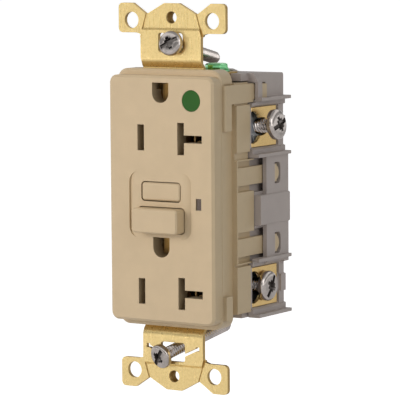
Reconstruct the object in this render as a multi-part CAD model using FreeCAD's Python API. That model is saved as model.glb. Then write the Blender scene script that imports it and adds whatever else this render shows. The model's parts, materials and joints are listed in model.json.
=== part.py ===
import FreeCAD, Part
import os
from math import cos, pi, radians, sin, sqrt

# Self-testing duplex outlet with test and reset buttons, on a brass mounting strap.
# Millimetres. X to the right, Y into the wall, Z up.
# Origin: middle of the two wall-plate screw holes, on the front plane of the strap's ears.

V = FreeCAD.Vector
os.makedirs("parts", exist_ok=True)

# ---------------------------------------------------------------- clearances
FIT = 0.2            # between moulded pieces that slot together
JOINED = 0.1         # overlap of two shapes that become one piece
SEAT_GAP = 0.1       # between pressed sheet metal and the moulding that holds it
SHAFT_GAP = 0.05     # radial, a shaft in its own hole
BUTTON_GAP = 0.25    # around the buttons in the face

# ---------------------------------------------------------------- face
FACE_WIDTH = 33.1
FACE_HEIGHT = 66.2
FACE_STAND = 5.75        # face in front of the ears
FACE_BLOCK_DEPTH = 4.0
FACE_WALL = 2.4
FACE_CORNER_R = 2.2
FACE_EDGE = 0.65
COVER_WALL = 2.0
FLANGE_RISE = 1.6        # flange beyond the face at top and bottom
FLANGE_CORNER_R = 3.2
FLANGE_EDGE = 0.5
FLANGE_END_DEPTH = 5.5   # depth of the flange at its two ends
SIDE_SKIRT_DEPTH = 1.5   # depth of the flange along the two sides
BAND_INSET = 0.5         # recessed band behind the skirt
BAND_DEPTH = 4.55
GUIDE_DEPTH = 2.05       # slot guides moulded behind the face
GUIDE_WALL = 1.2
WALL_MARGIN = 0.9        # cover wall beyond each terminal plate

# ---------------------------------------------------------------- outlets
OUTLET_PITCH = 41.4
OUTLET_MID_Z = -4.2
BLADE_X = 6.35
SLOT_WIDTH = 2.1
HOT_SLOT_HEIGHT = 6.95
NEUTRAL_SLOT_HEIGHT = 8.6
TEE_REACH = 13.0
TEE_HEIGHT = 2.05
GROUND_RISE = 12.0       # centre of the ground opening above the blades
GROUND_WIDTH = 5.2
GROUND_TOP = 2.8         # flat top above the ground opening's arc centre

# ---------------------------------------------------------------- buttons and indicator
TEST_WIDTH = 12.14
TEST_HEIGHT = 4.9
TEST_Z = 2.15
TEST_PROUD = 0.2
RESET_WIDTH = 14.4
RESET_HEIGHT = 6.6
RESET_Z = -5.45
RESET_PROUD = 3.7
RESET_TRAVEL = 3.0
BUTTON_CORNER_R = 0.9
BUTTON_WALL = 0.9
BUTTON_LIP = 0.7
BUTTON_LIP_RISE = 0.4
TEST_EDGE = 0.4
RESET_EDGE = 0.4
PANEL_HALF = 9.85        # crowned panel around the buttons
PANEL_SHIFT = -0.35
PANEL_TOP = 7.4
PANEL_BOTTOM = -10.5
PANEL_CORNER_R = 3.0
PANEL_FLAT = 6.5         # half width of its flat middle
PANEL_CROWN_R = 9.65
PANEL_DEPTH = 0.6        # below the face at its two sides
LENS_X = 11.85
LENS_Z = -0.75
LENS_WIDTH = 1.7
LENS_HEIGHT = 3.1
LENS_SINK = 0.3          # window below the face
LENS_SHOULDER = 0.45
PIPE_HALF_X = 0.65       # light pipe behind the window
PIPE_HALF_Z = 1.1
LAMP_MARGIN = 0.2
DOT_X = 9.7
DOT_Z = 26.7
DOT_R = 2.85
DOT_THICK = 0.6

# ---------------------------------------------------------------- strap
STRAP_T = 1.2
STRAP_HALF = 9.6
STRAP_TOP = 52.2
STRAP_TOP_HALF = 2.4
EAR_HALF = 17.0
EAR_TOP_INNER = 12.4
EAR_BOTTOM = 44.2
EAR_CORNER_R = 1.3
NOTCH_X = 8.0
NOTCH_Z = 49.2
NECK_Z = 43.8
EAR_HOLE_X = 12.8
EAR_HOLE_Z = 47.57
EAR_HOLE_R = 2.2
PLATE_SCREW_SPACING = 96.84
PLATE_SCREW_R = 1.65
COLLAR_R = 2.5           # drawn collar behind each tapped hole
COLLAR_LENGTH = 2.0
BOX_SCREW_SPACING = 83.34
BOX_SLOT_HALF = 3.9
BOX_SLOT_HEIGHT = 5.2
STEP_Z = 45.6            # the screw panel stands forward below this height
STEP_FORWARD = 0.6
JOGGLE_Z = 36.3          # the panel bends back into the body here
INNER_FRONT = 0.65       # front face of the strap inside the body
SPINE_HALF = 4.3
MIDDLE_TOP = 8.0
MIDDLE_BOTTOM = -11.2
POST_X = 3.3
POST_HALF = 0.9          # posts of the carrier that bear on the strap
STRAP_CLEAR = 1.1        # around the reset stem and its spring
CUT_REACH = 5.0          # how far the shapes that pierce the strap reach past it
SCORE_WIDTH = 0.5
SCORE_DEPTH = 0.3
SLIT_WIDTH = 0.7
SLIT_END_X = 7.9
SLIT_END_Z = -40.4
SLIT_END_HALF = 0.55
SLIT_DROP = 0.6          # the slits start below the lower slot's middle
SLOT_CORNER_R = 0.8
NECK_FLARE = 0.3
EAR_SHOULDER = 1.6

# ---------------------------------------------------------------- body
BODY_BACK = 28.5
BODY_WALL = 1.9
BODY_HALF = 17.65        # side walls; the steps and insets below are measured from here
BODY_TOP = 33.3
BODY_BOTTOM = -32.6
BODY_DRAFT = 0.5         # top wall, front to back
BOTTOM_DRAFT = 2.0       # bottom wall, front to back
MID_STEP = 1.5          # side walls between the terminals
BLOCK_STEP = 2.0        # centre block
BLOCK_HALF_HEIGHT = 4.1
SIDE_MID_Z = -3.65
COVER_REAR = 12.9        # rear edge of the cover
BLOCK_EDGE_R = 0.6
TERMINAL_WALL_REAR = 11.1
JOINT_GAP = 0.3          # between cover and body edges
RIM_Y = 11.4             # inner rim of the body, seat of the contact carrier
CAVITY_INSET = 2.65
CAVITY_BOTTOM = -28.8
END_WALL_Z = 31.0        # cover end walls, outside
END_CAVITY_Z = 29.4      # cover end walls, inside
HOOD_FRONT = 9.0         # the body's top and bottom edges reach over the cover to here
PIN_HOOD_HALF = 5.4      # raised part of the cover over the upper ground pin
PIN_HOOD_TOP = 32.4
PIN_HOOD_WALL = 0.65
PIN_HOOD_SIDE = 1.0
REAR_INSET = 0.75
HUMP_HALF = 10.0
HUMP_FOOT = 13.6
HUMP_RISE = 1.0
HUMP_FRONT = 13.0
HUMP_DEPTH = 2.0
HUMP_EDGE = 0.3
REAR_EDGE_R = 0.8
BLOCK_CORNER_R = 0.5
WINDOW_R = 1.2           # rounded windows where the hooks show
WINDOW_GAP = 0.5
BAR_END = 0.8            # wall beyond each bar
STAND_OFF_HALF = 1.2     # bosses that carry the board
STAND_OFF_GAP = 1.0      # between a boss and the terminal's walls
STAND_OFF_INSET = 8.0

# ---------------------------------------------------------------- snap latches
LUG_OFFSET = 9.55        # from the side's middle
LUG_HALF = 2.4
LUG_THICK = 1.3
LUG_END = 24.0
LUG_HOOK = 1.35
HOOK_TAPER = 0.9         # share of the hook left halfway to the lug's end
LUG_SLOT = 1.75          # relief beside each lug
LUG_SLOT_DEPTH = 1.4
LUG_SLOT_START = 0.5     # the reliefs begin behind the band
LUG_PANEL_EDGE = 0.35    # cover wall beyond the outer reliefs
LUG_TIP = 0.4            # thickness at a lug's end
BAR_FRONT = 17.0
BAR_REAR = 21.3
BAR_HALF = 4.65
BAR_GAP = 0.3
TOP_LUG_LOW = 26.3
TOP_LUG_HIGH = 30.4
TOP_LUG_END = 18.8
TOP_LUG_HOOK = 0.75
TOP_BAR_FRONT = 12.95
TOP_BAR_REAR = 15.4
TOP_BAR_STEP = 1.3
TOP_BAR_BEND_R = 3.0
BLOCK_LOW = 25.6         # raised corner block of the cover
BLOCK_HIGH = 30.6
LEG_FRONT = -1.2
LEG_DEPTH = 3.05
LEG_LOW = 18.5
LOWER_LEG_HIGH = -25.6
LOWER_LEG_LOW = -32.1

# ---------------------------------------------------------------- terminals
TERMINAL_PITCH = 43.3
TERMINAL_MID_Z = -2.95
TERMINAL_Y = 18.3
PLATE_FRONT = 12.2
PLATE_REAR = 25.1
PLATE_HALF_HEIGHT = 5.4
PLATE_INSET = 0.25
PLATE_T = 1.0
MOUTH_R = 4.3            # wire mouth of the terminal plate
MOUTH_Y = 0.8
THROAT_HALF = 2.4        # screw slot of the terminal plate
POCKET_FLARE = 1.6
POCKET_LIP = 0.9
POCKET_LIP_STEP = 2.45
POCKET_REAR_STEP = 0.55
POCKET_WALL = 1.4         # walls above and below the clamp's space, inside
WIRE_R = 1.7             # half-round wire entries at the back
WIRE_OFFSET = 4.0
CLAMP_T = 1.6
CLAMP_HALF = 4.2
CLAMP_FRONT = 2.9        # plate and tongue in front of the screw
CLAMP_TONGUE = 4.8
CLAMP_TONGUE_HALF = 2.1
CLAMP_HOLE_GAP = 0.15
CLAMP_OPEN = 2.1         # space under the plate with the clamp open
CLAMP_LOOSE = 0.8        # the same space at the screw that is backed out
CLAMP_WELL_DEPTH = 5.2   # floor of the clamp's space, below the plate's outer face
SCREW_WELL_DEPTH = 7.1
WELL_FLOOR = 0.9
WELL_GAP = 0.5           # around the clamp and the screw's end
CLAMP_SWING = 0.9        # more room behind the clamp
POCKET_REAR_GAP = 0.9    # behind the plate
TERMINAL_HEAD_R = 4.1
TERMINAL_HEAD_H = 2.3
TERMINAL_SHANK_R = 1.95
TERMINAL_SHANK_LENGTH = 7.0
HEAD_GAP = 0.3
LOOSE_LIFT = 3.0         # one screw is delivered backed out
LOOSE_TILT = 7.0
LEG_T = 1.0
LEG_HALF = 2.2
LEG_LENGTH = 7.5

# ---------------------------------------------------------------- screws
BOX_HEAD_R = 3.35
BOX_HEAD_H = 2.1
BOX_SHANK_R = 1.75
BOX_SCREW_LENGTH = 25.0
UPPER_SCREW_X = 0.9      # where the upper box screw's axis crosses the panel
UPPER_SCREW_DROP = 0.47  # below the slot's middle
UPPER_SCREW_STAND = 1.35 # head in front of that point
UPPER_SCREW_DROOP = 11.5
UPPER_SCREW_YAW = 4.0
LOWER_SCREW_X = -1.9
LOWER_SCREW_DROP = 0.48
LOWER_SCREW_STAND = 1.9
LOWER_SCREW_DROOP = -14.0
LOWER_SCREW_YAW = -14.0
GROUND_X = 8.4
GROUND_Y = 9.0
GROUND_TAB_TOP = 33.7
GROUND_TAB_HALF = 4.3
GROUND_HEX = 6.35
GROUND_HEAD_H = 2.2
GROUND_SHANK_R = 2.0
GROUND_SHANK_LENGTH = 7.4
RECESS_SLOT = 1.0
RECESS_REACH = 0.68      # half length of a recess, as a share of the head's radius
RECESS_DEPTH = 1.1
SCREW_EDGE = 0.3         # chamfer of a head, as a share of its height
HEAD_SIDES = 28          # flats that make up a round head

# ---------------------------------------------------------------- inside
CARRIER_FRONT = 9.0
CARRIER_INSET = 1.95
STRIP_T = 0.8
STRIP_IN = 4.9
STRIP_OUT = 9.5
STRIP_RISE = 9.0         # strip beyond the blades, at its two ends
STRIP_DROP = 3.8
STRIP_BAY = 1.8          # cut-out of the strip around the buttons' stems
RISER_HEIGHT = 2.6
PAD_HALF = 1.6
TEE_LEAF_START = 2.2
LEAF_T = 0.5
LEAF_GAP = 1.5
LEAF_FRONT = -0.9
LEAF_FLARE = 0.4
LEAF_FLARE_LENGTH = 1.4
LEAF_HEIGHT = 6.4
CLIP_WALL = 1.5          # ground clips behind the strap
CLIP_MOUTH = 2.0
CLIP_LOW = 3.2
CLIP_HIGH = 0.7
BOARD_FRONT = 22.4
BOARD_T = 1.6
BOARD_GAP = 0.4          # between the board and the cavity's walls
BOARD_NECK = 4.0
BOARD_TOP_GAP = 1.6
BOARD_NOTCH_GAP = 0.3
COIL_Z = 18.4
COIL_R = 7.7
COIL_HOLE_R = 3.9
COIL_H = 4.1
COIL_SIDES = 16
BAR_IN = 0.5             # line conductors through the coils
BAR_OUT = 2.2
BAR_T = 0.7
BAR_RISE = 0.6
BAR_EDGE = 0.3
FOOT_HALF = 0.75
CUP_WALL = 0.8
STEM_R = 1.4
SPRING_WIRE = 0.4
SPRING_TURNS = 5
SPRING_END = 0.3         # half wire and a gap at each end of the spring
STEM_END = 18.9
NECK_R = 1.0
TEST_STEM_HALF = 1.1
CONTACT_HALF = 1.1       # silver contacts
CONTACT_Z = -7.0
CONTACT_T = 0.8
CONTACT_OPEN = 1.25      # between the contacts while tripped
TEST_LEAF_Y = 12.4       # bronze leaf of the test contact
TEST_LEAF_HALF = 1.3
TEST_LEAF_T = 0.3
TEST_TIP_Z = 0.75
TEST_TIP_HEIGHT = 0.5
TEST_PIN_R = 0.5
TEST_SEAT_HALF = 1.8     # boss of the carrier that holds the leaf
TEST_HINGE_Z = 7.2
TEST_GAP = 0.15          # test button's stem in front of its leaf
TEST_SWING = 1.9         # the leaf's tip in front of the pin it touches
LAMP_Y = 20.2
LATCH_Y = 17.4
LATCH_T = 0.8
LATCH_HALF = 4.0
LATCH_HEAD = 0.6         # latch plate beyond the lifter block
LATCH_FOOT = 0.3
LATCH_LEAF_X = 2.2
LATCH_LEAF_T = 0.3
LATCH_LEAF_FOOT = 2.5
TRIP_TRAVEL = 1.5
LIFTER_HALF = 6.6
LIFTER_FRONT = 13.4
LIFTER_REAR = 19.8
LIFTER_TOP = -1.7
LIFTER_BOTTOM = -9.2
WING_OUT = 10.9
WING_T = 1.7
WING_HALF = 1.15
ARM_X = 9.2
ARM_HALF = 1.4
ARM_Y = 14.6
ARM_T = 0.5
ARM_ROOT_Z = 8.75
ARM_TIP_Z = -9.0
SOLENOID_Y = 17.4
SOLENOID_TOP = -11.5
SOLENOID_BOTTOM = -27.0
BOBBIN_FLANGE_HALF = 5.0
BOBBIN_TUBE_HALF = 2.5
WINDING_HALF = 4.4
WINDING_EDGE = 1.2
BRACKET_T = 0.8
BRACKET_FRONT = 3.5
BRACKET_REAR = 4.5
BOBBIN_END_T = 1.0
PLUNGER_R = 1.8
PLUNGER_GAP = 0.4        # plunger below the lifter block at rest
PLUNGER_LENGTH = 12.4

# ---------------------------------------------------------------- board components
LEAD_HALF = 0.25
VARISTOR_R = 3.5
VARISTOR_T = 3.6
VARISTOR_LIFT = 0.3
VARISTOR_LEAD_X = 2.0
PARTS_Z = -13.6          # varistor and lower capacitor
CAPACITOR_R = 1.9
CAPACITOR_HEIGHT = 6.5
CAPACITOR_PITCH = 4.1
CHIP_WIDTH = 2.6
CHIP_LOW = -1.5
CHIP_HEIGHT = 5.0
CHIP_FRONT = 1.6
CHIP_LIFT = 0.2
CHIP_LEGS = 4
CHIP_LEG_PITCH = 1.27
CHIP_LEG_REACH = 0.5
THYRISTOR_R = 2.2
THYRISTOR_Z = 8.0
THYRISTOR_FLAT = 1.4
THYRISTOR_FRONT = 6.0
THYRISTOR_HEIGHT = 4.6
THYRISTOR_LEG_PITCH = 1.2
RESISTOR_WIDTH = 2.4
RESISTOR_HEIGHT = 1.6
RESISTOR_T = 0.7
RESISTOR_PITCH = 2.4
RESISTOR_LOW = 3.2

# ---------------------------------------------------------------- values that follow
FACE_Y = -FACE_STAND
FACE_INNER_Y = FACE_Y + FACE_WALL
FLANGE_Y = FACE_Y + FACE_BLOCK_DEPTH
FLANGE_END_Y = FLANGE_Y + FLANGE_END_DEPTH
SKIRT_END_Y = FLANGE_Y + SIDE_SKIRT_DEPTH
BAND_END_Y = SKIRT_END_Y + BAND_DEPTH
GUIDE_END_Y = FACE_INNER_Y + GUIDE_DEPTH
FACE_HALF = FACE_WIDTH / 2
FLANGE_TOP = FACE_HEIGHT / 2 + FLANGE_RISE
OUTLETS_Z = [OUTLET_MID_Z + OUTLET_PITCH / 2, OUTLET_MID_Z - OUTLET_PITCH / 2]
TERMINALS_Z = [TERMINAL_MID_Z + TERMINAL_PITCH / 2, TERMINAL_MID_Z - TERMINAL_PITCH / 2]
LUGS_Z = [SIDE_MID_Z + LUG_OFFSET, SIDE_MID_Z - LUG_OFFSET]
INNER_REAR = INNER_FRONT + STRAP_T
STRIP_FRONT = CARRIER_FRONT - STRIP_T
CAVITY_BACK = BODY_BACK - BODY_WALL
BOARD_REAR = BOARD_FRONT + BOARD_T
PANEL_FRONT = -STEP_FORWARD
LOOSE = {"neutral_load": (LOOSE_LIFT, LOOSE_TILT, CLAMP_LOOSE)}
MID_HALF = BODY_HALF + MID_STEP
BLOCK_HALF = BODY_HALF + BLOCK_STEP
TOP_BAR_HALF = BODY_HALF + TOP_BAR_STEP
POCKET_LIP_HALF = BODY_HALF + POCKET_LIP_STEP
POCKET_REAR_HALF = BODY_HALF + POCKET_REAR_STEP
CARRIER_HALF = BODY_HALF - CARRIER_INSET
CAVITY_HALF = BODY_HALF - CAVITY_INSET
PLATE_OUTER = BODY_HALF - PLATE_INSET
PLATE_INNER = PLATE_OUTER - PLATE_T
CLAMP_WELL = PLATE_OUTER - CLAMP_WELL_DEPTH
SCREW_WELL = PLATE_OUTER - SCREW_WELL_DEPTH
LEG_END = PLATE_OUTER - LEG_LENGTH
BOARD_HALF = CAVITY_HALF - BOARD_GAP
BOARD_NECK_HALF = BOARD_HALF - BOARD_NECK
BOARD_BOTTOM = CAVITY_BOTTOM + BOARD_GAP
POCKET_HALF = PLATE_HALF_HEIGHT + POCKET_WALL
TEE_LEAF_END = TEE_REACH - SEAT_GAP - FIT
STRIP_TOP = OUTLETS_Z[0] + STRIP_RISE
STRIP_BOTTOM = OUTLETS_Z[1] - STRIP_DROP
BUTTON_INSIDE = 2 * BUTTON_WALL      # front wall of a hollow button


# ---------------------------------------------------------------- drawing helpers
def box(x0, x1, y0, y1, z0, z1):
    return Part.makeBox(x1 - x0, y1 - y0, z1 - z0, V(x0, y0, z0))


def around(middle, half):
    """Both ends of a span, for use in box()."""
    return middle - half, middle + half


def rod(radius, start, direction, length):
    return Part.makeCylinder(radius, length, start, direction)


def polygon(points):
    return Part.Face(Part.makePolygon(points + [points[0]]))


def prism_x(outline_yz, x0, x1):
    return polygon([V(x0, y, z) for y, z in outline_yz]).extrude(V(x1 - x0, 0, 0))


def prism_y(outline_xz, y0, y1):
    return polygon([V(x, y0, z) for x, z in outline_xz]).extrude(V(0, y1 - y0, 0))


def prism_z(outline_xy, z0, z1):
    return polygon([V(x, y, z0) for x, y in outline_xy]).extrude(V(0, 0, z1 - z0))


def edges_along(shape, direction, test):
    """Straight edges of a shape that run along a direction and pass a test of their middle."""
    found = []
    for edge in shape.Edges:
        if edge.Curve.TypeId != "Part::GeomLine":
            continue
        run = edge.Vertexes[1].Point - edge.Vertexes[0].Point
        if run.normalize().cross(direction).Length < 1e-6 and test(edge.CenterOfMass):
            found.append(edge)
    return found


def slab(half_x, half_z, corner_r, y0, y1, x=0, z=0):
    """A block with its four edges along Y rounded."""
    block = box(x - half_x, x + half_x, y0, y1, z - half_z, z + half_z)
    return block.makeFillet(corner_r, edges_along(block, V(0, 1, 0), lambda p: True))


def front_loop(shape, y):
    return [e for e in shape.Edges if e.BoundBox.YMax < y + 1e-4 and e.BoundBox.YMin > y - 1e-4]


def fuse(first, *others):
    return first.fuse(list(others)).removeSplitter()


def cut(first, *others):
    return first.cut(list(others))


def mirrored(shape):
    """The same piece on the other side of the outlet."""
    return shape.mirror(V(0, 0, 0), V(1, 0, 0))


def both_sides(shape):
    return [shape, mirrored(shape)]


def coil_spring(start, axis, coil_r, wire, turns, length):
    """Compression spring of square wire, twelve bends to a turn, from a point along an axis."""
    steps = 12 * turns
    bend = pi / 6
    path = [V(coil_r * cos(bend * k), coil_r * sin(bend * k), length * k / steps) for k in range(steps + 1)]
    half = wire / 2
    corners = [V(coil_r - half, 0, -half), V(coil_r + half, 0, -half), V(coil_r + half, 0, half),
               V(coil_r - half, 0, half), V(coil_r - half, 0, -half)]
    spring = Part.makePolygon(path).makePipeShell([Part.makePolygon(corners)], True, False, 1)
    spring.Placement = FreeCAD.Placement(start, FreeCAD.Rotation(V(0, 0, 1), axis))
    return spring


def turned_bar(radius, start, axis, length, sides=12):
    """Bar with flat sides for small round pieces; its corners lie on the radius."""
    corners = [V(radius * cos(2 * pi * k / sides), radius * sin(2 * pi * k / sides), 0) for k in range(sides)]
    bar = polygon(corners).extrude(V(0, 0, length))
    bar.Placement = FreeCAD.Placement(start, FreeCAD.Rotation(V(0, 0, 1), axis))
    return bar


def pan_screw(base, axis, head_r, head_h, shank_r, shank_length):
    """Cross-recessed screw. base is the centre of the head's underside, axis points out of the head."""
    head = turned_bar(head_r, V(0, 0, 0), V(0, 0, 1), head_h, HEAD_SIDES)
    top = [e for e in head.Edges if e.BoundBox.ZMin > head_h - 1e-4]
    head = head.makeChamfer(head_h * SCREW_EDGE, top)
    body = fuse(head, rod(shank_r, V(0, 0, -shank_length), V(0, 0, 1), shank_length + JOINED))
    reach = head_r * RECESS_REACH
    half = RECESS_SLOT / 2
    floor = head_h - RECESS_DEPTH
    recess = fuse(box(*around(0, reach), *around(0, half), floor, head_h + 1),
                  box(*around(0, half), *around(0, reach), floor, head_h + 1))
    screw = cut(body, recess)
    screw.Placement = FreeCAD.Placement(base, FreeCAD.Rotation(V(0, 0, 1), axis))
    return screw


def save(name, shape):
    shape.exportStep("parts/" + name + ".step")


# ---------------------------------------------------------------- front cover
def ground_opening(z, y0, y1):
    """Opening for a ground pin: flat at the top, round at the bottom."""
    radius = GROUND_WIDTH / 2
    round_part = rod(radius, V(0, y0, z), V(0, 1, 0), y1 - y0)
    return fuse(round_part, box(-radius, radius, y0, y1, z, z + GROUND_TOP))


def pin_clearance(z, y0, y1):
    """Room for a ground pin in the pieces behind the face."""
    half = GROUND_WIDTH / 2 + FIT
    return box(-half, half, y0, y1, z - half, z + GROUND_TOP + FIT)


def square_bar(half, x, z, y0, y1):
    """Square bar along Y."""
    return box(x - half, x + half, y0, y1, z - half, z + half)


def outlet_openings(z, y0, y1):
    half = SLOT_WIDTH / 2
    hot = box(*around(-BLADE_X, half), y0, y1, *around(z, HOT_SLOT_HEIGHT / 2))
    upright = box(*around(BLADE_X, half), y0, y1, *around(z, NEUTRAL_SLOT_HEIGHT / 2))
    tee = box(BLADE_X, TEE_REACH, y0, y1, *around(z, TEE_HEIGHT / 2))
    return [hot, fuse(upright, tee), ground_opening(z + GROUND_RISE, y0, y1)]


def button_opening(width, height, z):
    half_x = width / 2 + BUTTON_GAP
    half_z = height / 2 + BUTTON_GAP
    return slab(half_x, half_z, BUTTON_CORNER_R + BUTTON_GAP, FACE_Y - 1, FACE_INNER_Y + 1, 0, z)


def face_panel():
    """Cut of the panel around the buttons: flat in the middle, falling away to both sides."""
    middle_z = (PANEL_TOP + PANEL_BOTTOM) / 2
    half_z = (PANEL_TOP - PANEL_BOTTOM) / 2
    sunk = slab(PANEL_HALF, half_z, PANEL_CORNER_R, FACE_Y - 1, FACE_Y + PANEL_DEPTH, PANEL_SHIFT, middle_z)
    low = PANEL_BOTTOM - 1
    crowns = [rod(PANEL_CROWN_R, V(PANEL_SHIFT + side * PANEL_FLAT, FACE_Y + PANEL_CROWN_R, low), V(0, 0, 1),
                  2 * half_z + 2) for side in (-1, 1)]
    flat = box(*around(PANEL_SHIFT, PANEL_FLAT), FACE_Y, FACE_Y + 1, low, PANEL_TOP + 1)
    return cut(sunk, flat, *crowns).cut(box(*around(PANEL_SHIFT, PANEL_FLAT), FACE_Y - 2, FACE_Y, low, PANEL_TOP + 1))


def cover_lug(z0, z1, end, bar_rear, hook):
    """Springy tongue with a hook that snaps behind a bar of the body."""
    inner = BODY_HALF - LUG_THICK
    catch = bar_rear + FIT
    outline = [(inner, COVER_REAR), (BODY_HALF, COVER_REAR), (BODY_HALF, catch), (BODY_HALF + hook, catch)]
    outline += [(BODY_HALF + hook * HOOK_TAPER, (catch + end) / 2), (inner + LUG_TIP, end), (inner, end)]
    return prism_z(outline, z0, z1)


def cover_side_details():
    """Raised shapes on the right-hand side of the cover."""
    inner = FACE_HALF - COVER_WALL
    corner = box(inner, BODY_HALF, LEG_FRONT, COVER_REAR, BLOCK_LOW, BLOCK_HIGH)
    leg = box(inner, BODY_HALF, LEG_FRONT, LEG_FRONT + LEG_DEPTH, LEG_LOW, BLOCK_LOW)
    leg = fuse(corner, leg)
    leg = leg.makeFillet(BLOCK_EDGE_R, edges_along(leg, V(0, 0, 1), lambda p: p.x > inner and p.y < LEG_FRONT + 1))
    lower_leg = box(inner, BODY_HALF, LEG_FRONT, LEG_FRONT + LEG_DEPTH, LOWER_LEG_LOW, LOWER_LEG_HIGH)
    pieces = [leg, lower_leg]
    for z in TERMINALS_Z:
        pieces.append(box(inner, BODY_HALF, BAND_END_Y, TERMINAL_WALL_REAR,
                          *around(z, PLATE_HALF_HEIGHT + WALL_MARGIN)))
    low = LUGS_Z[1] - LUG_HALF - LUG_SLOT - LUG_PANEL_EDGE
    high = LUGS_Z[0] + LUG_HALF + LUG_SLOT + LUG_PANEL_EDGE
    pieces.append(box(inner, BODY_HALF, BAND_END_Y, COVER_REAR, low, high))
    return pieces


def cover_side_recesses():
    """Relief slots on both sides of each lug."""
    cuts = []
    start = BAND_END_Y + LUG_SLOT_START
    for z in LUGS_Z:
        for edge in (z - LUG_HALF - LUG_SLOT, z + LUG_HALF):
            cuts.append(box(BODY_HALF - LUG_SLOT_DEPTH, BODY_HALF + 1, start, COVER_REAR + 1, edge, edge + LUG_SLOT))
    return cuts


def front_cover():
    inner = FACE_HALF - COVER_WALL
    face = slab(FACE_HALF, FACE_HEIGHT / 2, FACE_CORNER_R, FACE_Y, FLANGE_Y)
    face = face.makeChamfer(FACE_EDGE, front_loop(face, FACE_Y))
    flange = slab(FACE_HALF, FLANGE_TOP, FLANGE_CORNER_R, FLANGE_Y, FLANGE_END_Y)
    flange = flange.makeChamfer(FLANGE_EDGE, front_loop(flange, FLANGE_Y))
    waist = box(-FACE_HALF - 1, FACE_HALF + 1, SKIRT_END_Y, FLANGE_END_Y + 1, -END_WALL_Z, END_WALL_Z)
    band = box(-FACE_HALF + BAND_INSET, FACE_HALF - BAND_INSET, FLANGE_Y, BAND_END_Y, -END_WALL_Z, END_WALL_Z)
    rear_band = box(-BODY_HALF + REAR_INSET, BODY_HALF - REAR_INSET, BAND_END_Y, TERMINAL_WALL_REAR,
                    -END_WALL_Z, END_WALL_Z)
    hood = box(-PIN_HOOD_HALF, PIN_HOOD_HALF, FLANGE_END_Y - 1, HOOD_FRONT - JOINT_GAP, 0, PIN_HOOD_TOP)
    shell = fuse(face, cut(flange, waist), band, rear_band, hood)
    sides = [piece for detail in cover_side_details() for piece in both_sides(detail)]
    shell = fuse(shell, *sides)
    hollow = box(-inner, inner, FACE_INNER_Y, COVER_REAR + 1, -END_CAVITY_Z, END_CAVITY_Z)
    wide = box(-CARRIER_HALF - FIT, CARRIER_HALF + FIT, STRIP_FRONT - 1, COVER_REAR + 1,
               -END_CAVITY_Z, END_CAVITY_Z)
    pin_space = box(-PIN_HOOD_HALF + PIN_HOOD_SIDE, PIN_HOOD_HALF - PIN_HOOD_SIDE, FACE_INNER_Y,
                    HOOD_FRONT - JOINT_GAP - PIN_HOOD_WALL, 0, PIN_HOOD_TOP - PIN_HOOD_WALL)
    shell = cut(shell, hollow, wide, pin_space)
    guides = []
    for z in OUTLETS_Z:
        left = -BLADE_X - SLOT_WIDTH / 2 - GUIDE_WALL
        rise = NEUTRAL_SLOT_HEIGHT / 2 + GUIDE_WALL
        guides.append(box(left, inner, FACE_INNER_Y, GUIDE_END_Y, *around(z, rise)))
        top = min(z + GROUND_RISE + GROUND_TOP + GUIDE_WALL, END_CAVITY_Z)
        guides.append(box(*around(0, GROUND_WIDTH / 2 + GUIDE_WALL), FACE_INNER_Y, GUIDE_END_Y, z, top))
    shell = fuse(shell, *guides)
    openings = [shape for z in OUTLETS_Z for shape in outlet_openings(z, FACE_Y - 1, GUIDE_END_Y + 1)]
    openings.append(button_opening(TEST_WIDTH, TEST_HEIGHT, TEST_Z))
    openings.append(button_opening(RESET_WIDTH, RESET_HEIGHT, RESET_Z))
    lip_x = RESET_WIDTH / 2 + BUTTON_LIP + BUTTON_GAP
    lip_low = RESET_Z - RESET_HEIGHT / 2 - BUTTON_LIP - BUTTON_GAP
    lip_high = TEST_Z + TEST_HEIGHT / 2 + BUTTON_LIP + BUTTON_GAP
    openings.append(box(-lip_x, lip_x, FACE_INNER_Y, GUIDE_END_Y + 1, lip_low, lip_high))
    openings.append(face_panel())
    openings.append(box(*around(LENS_X, LENS_WIDTH / 2), FACE_Y - 1, FACE_INNER_Y + 1,
                        *around(LENS_Z, LENS_HEIGHT / 2)))
    openings.append(rod(DOT_R + SEAT_GAP / 2, V(DOT_X, FACE_Y - 1, DOT_Z), V(0, 1, 0), DOT_THICK + 1))
    for low, high in ((END_CAVITY_Z - 1, FLANGE_TOP + 1), (-FLANGE_TOP - 1, -END_CAVITY_Z + 1)):
        openings.append(box(*around(0, STRAP_HALF + FIT), INNER_FRONT - SEAT_GAP, INNER_REAR + SEAT_GAP, low, high))
    tab_low = GROUND_TAB_TOP - STRAP_T - SEAT_GAP
    openings.append(box(*around(GROUND_X, GROUND_TAB_HALF + FIT), INNER_FRONT, FLANGE_END_Y + 1,
                        tab_low, FLANGE_TOP + 1))
    shank = GROUND_SHANK_R + FIT
    openings.append(box(*around(GROUND_X, shank), *around(GROUND_Y, shank), END_CAVITY_Z - 1, FLANGE_TOP + 1))
    shell = cut(shell, *openings, *[s for r in cover_side_recesses() for s in both_sides(r)])
    lugs = []
    for z in LUGS_Z:
        lugs += both_sides(cover_lug(z - LUG_HALF, z + LUG_HALF, LUG_END, BAR_REAR, LUG_HOOK))
    lugs += both_sides(cover_lug(TOP_LUG_LOW, TOP_LUG_HIGH, TOP_LUG_END, TOP_BAR_REAR, TOP_LUG_HOOK))
    return fuse(shell, *lugs)


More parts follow.
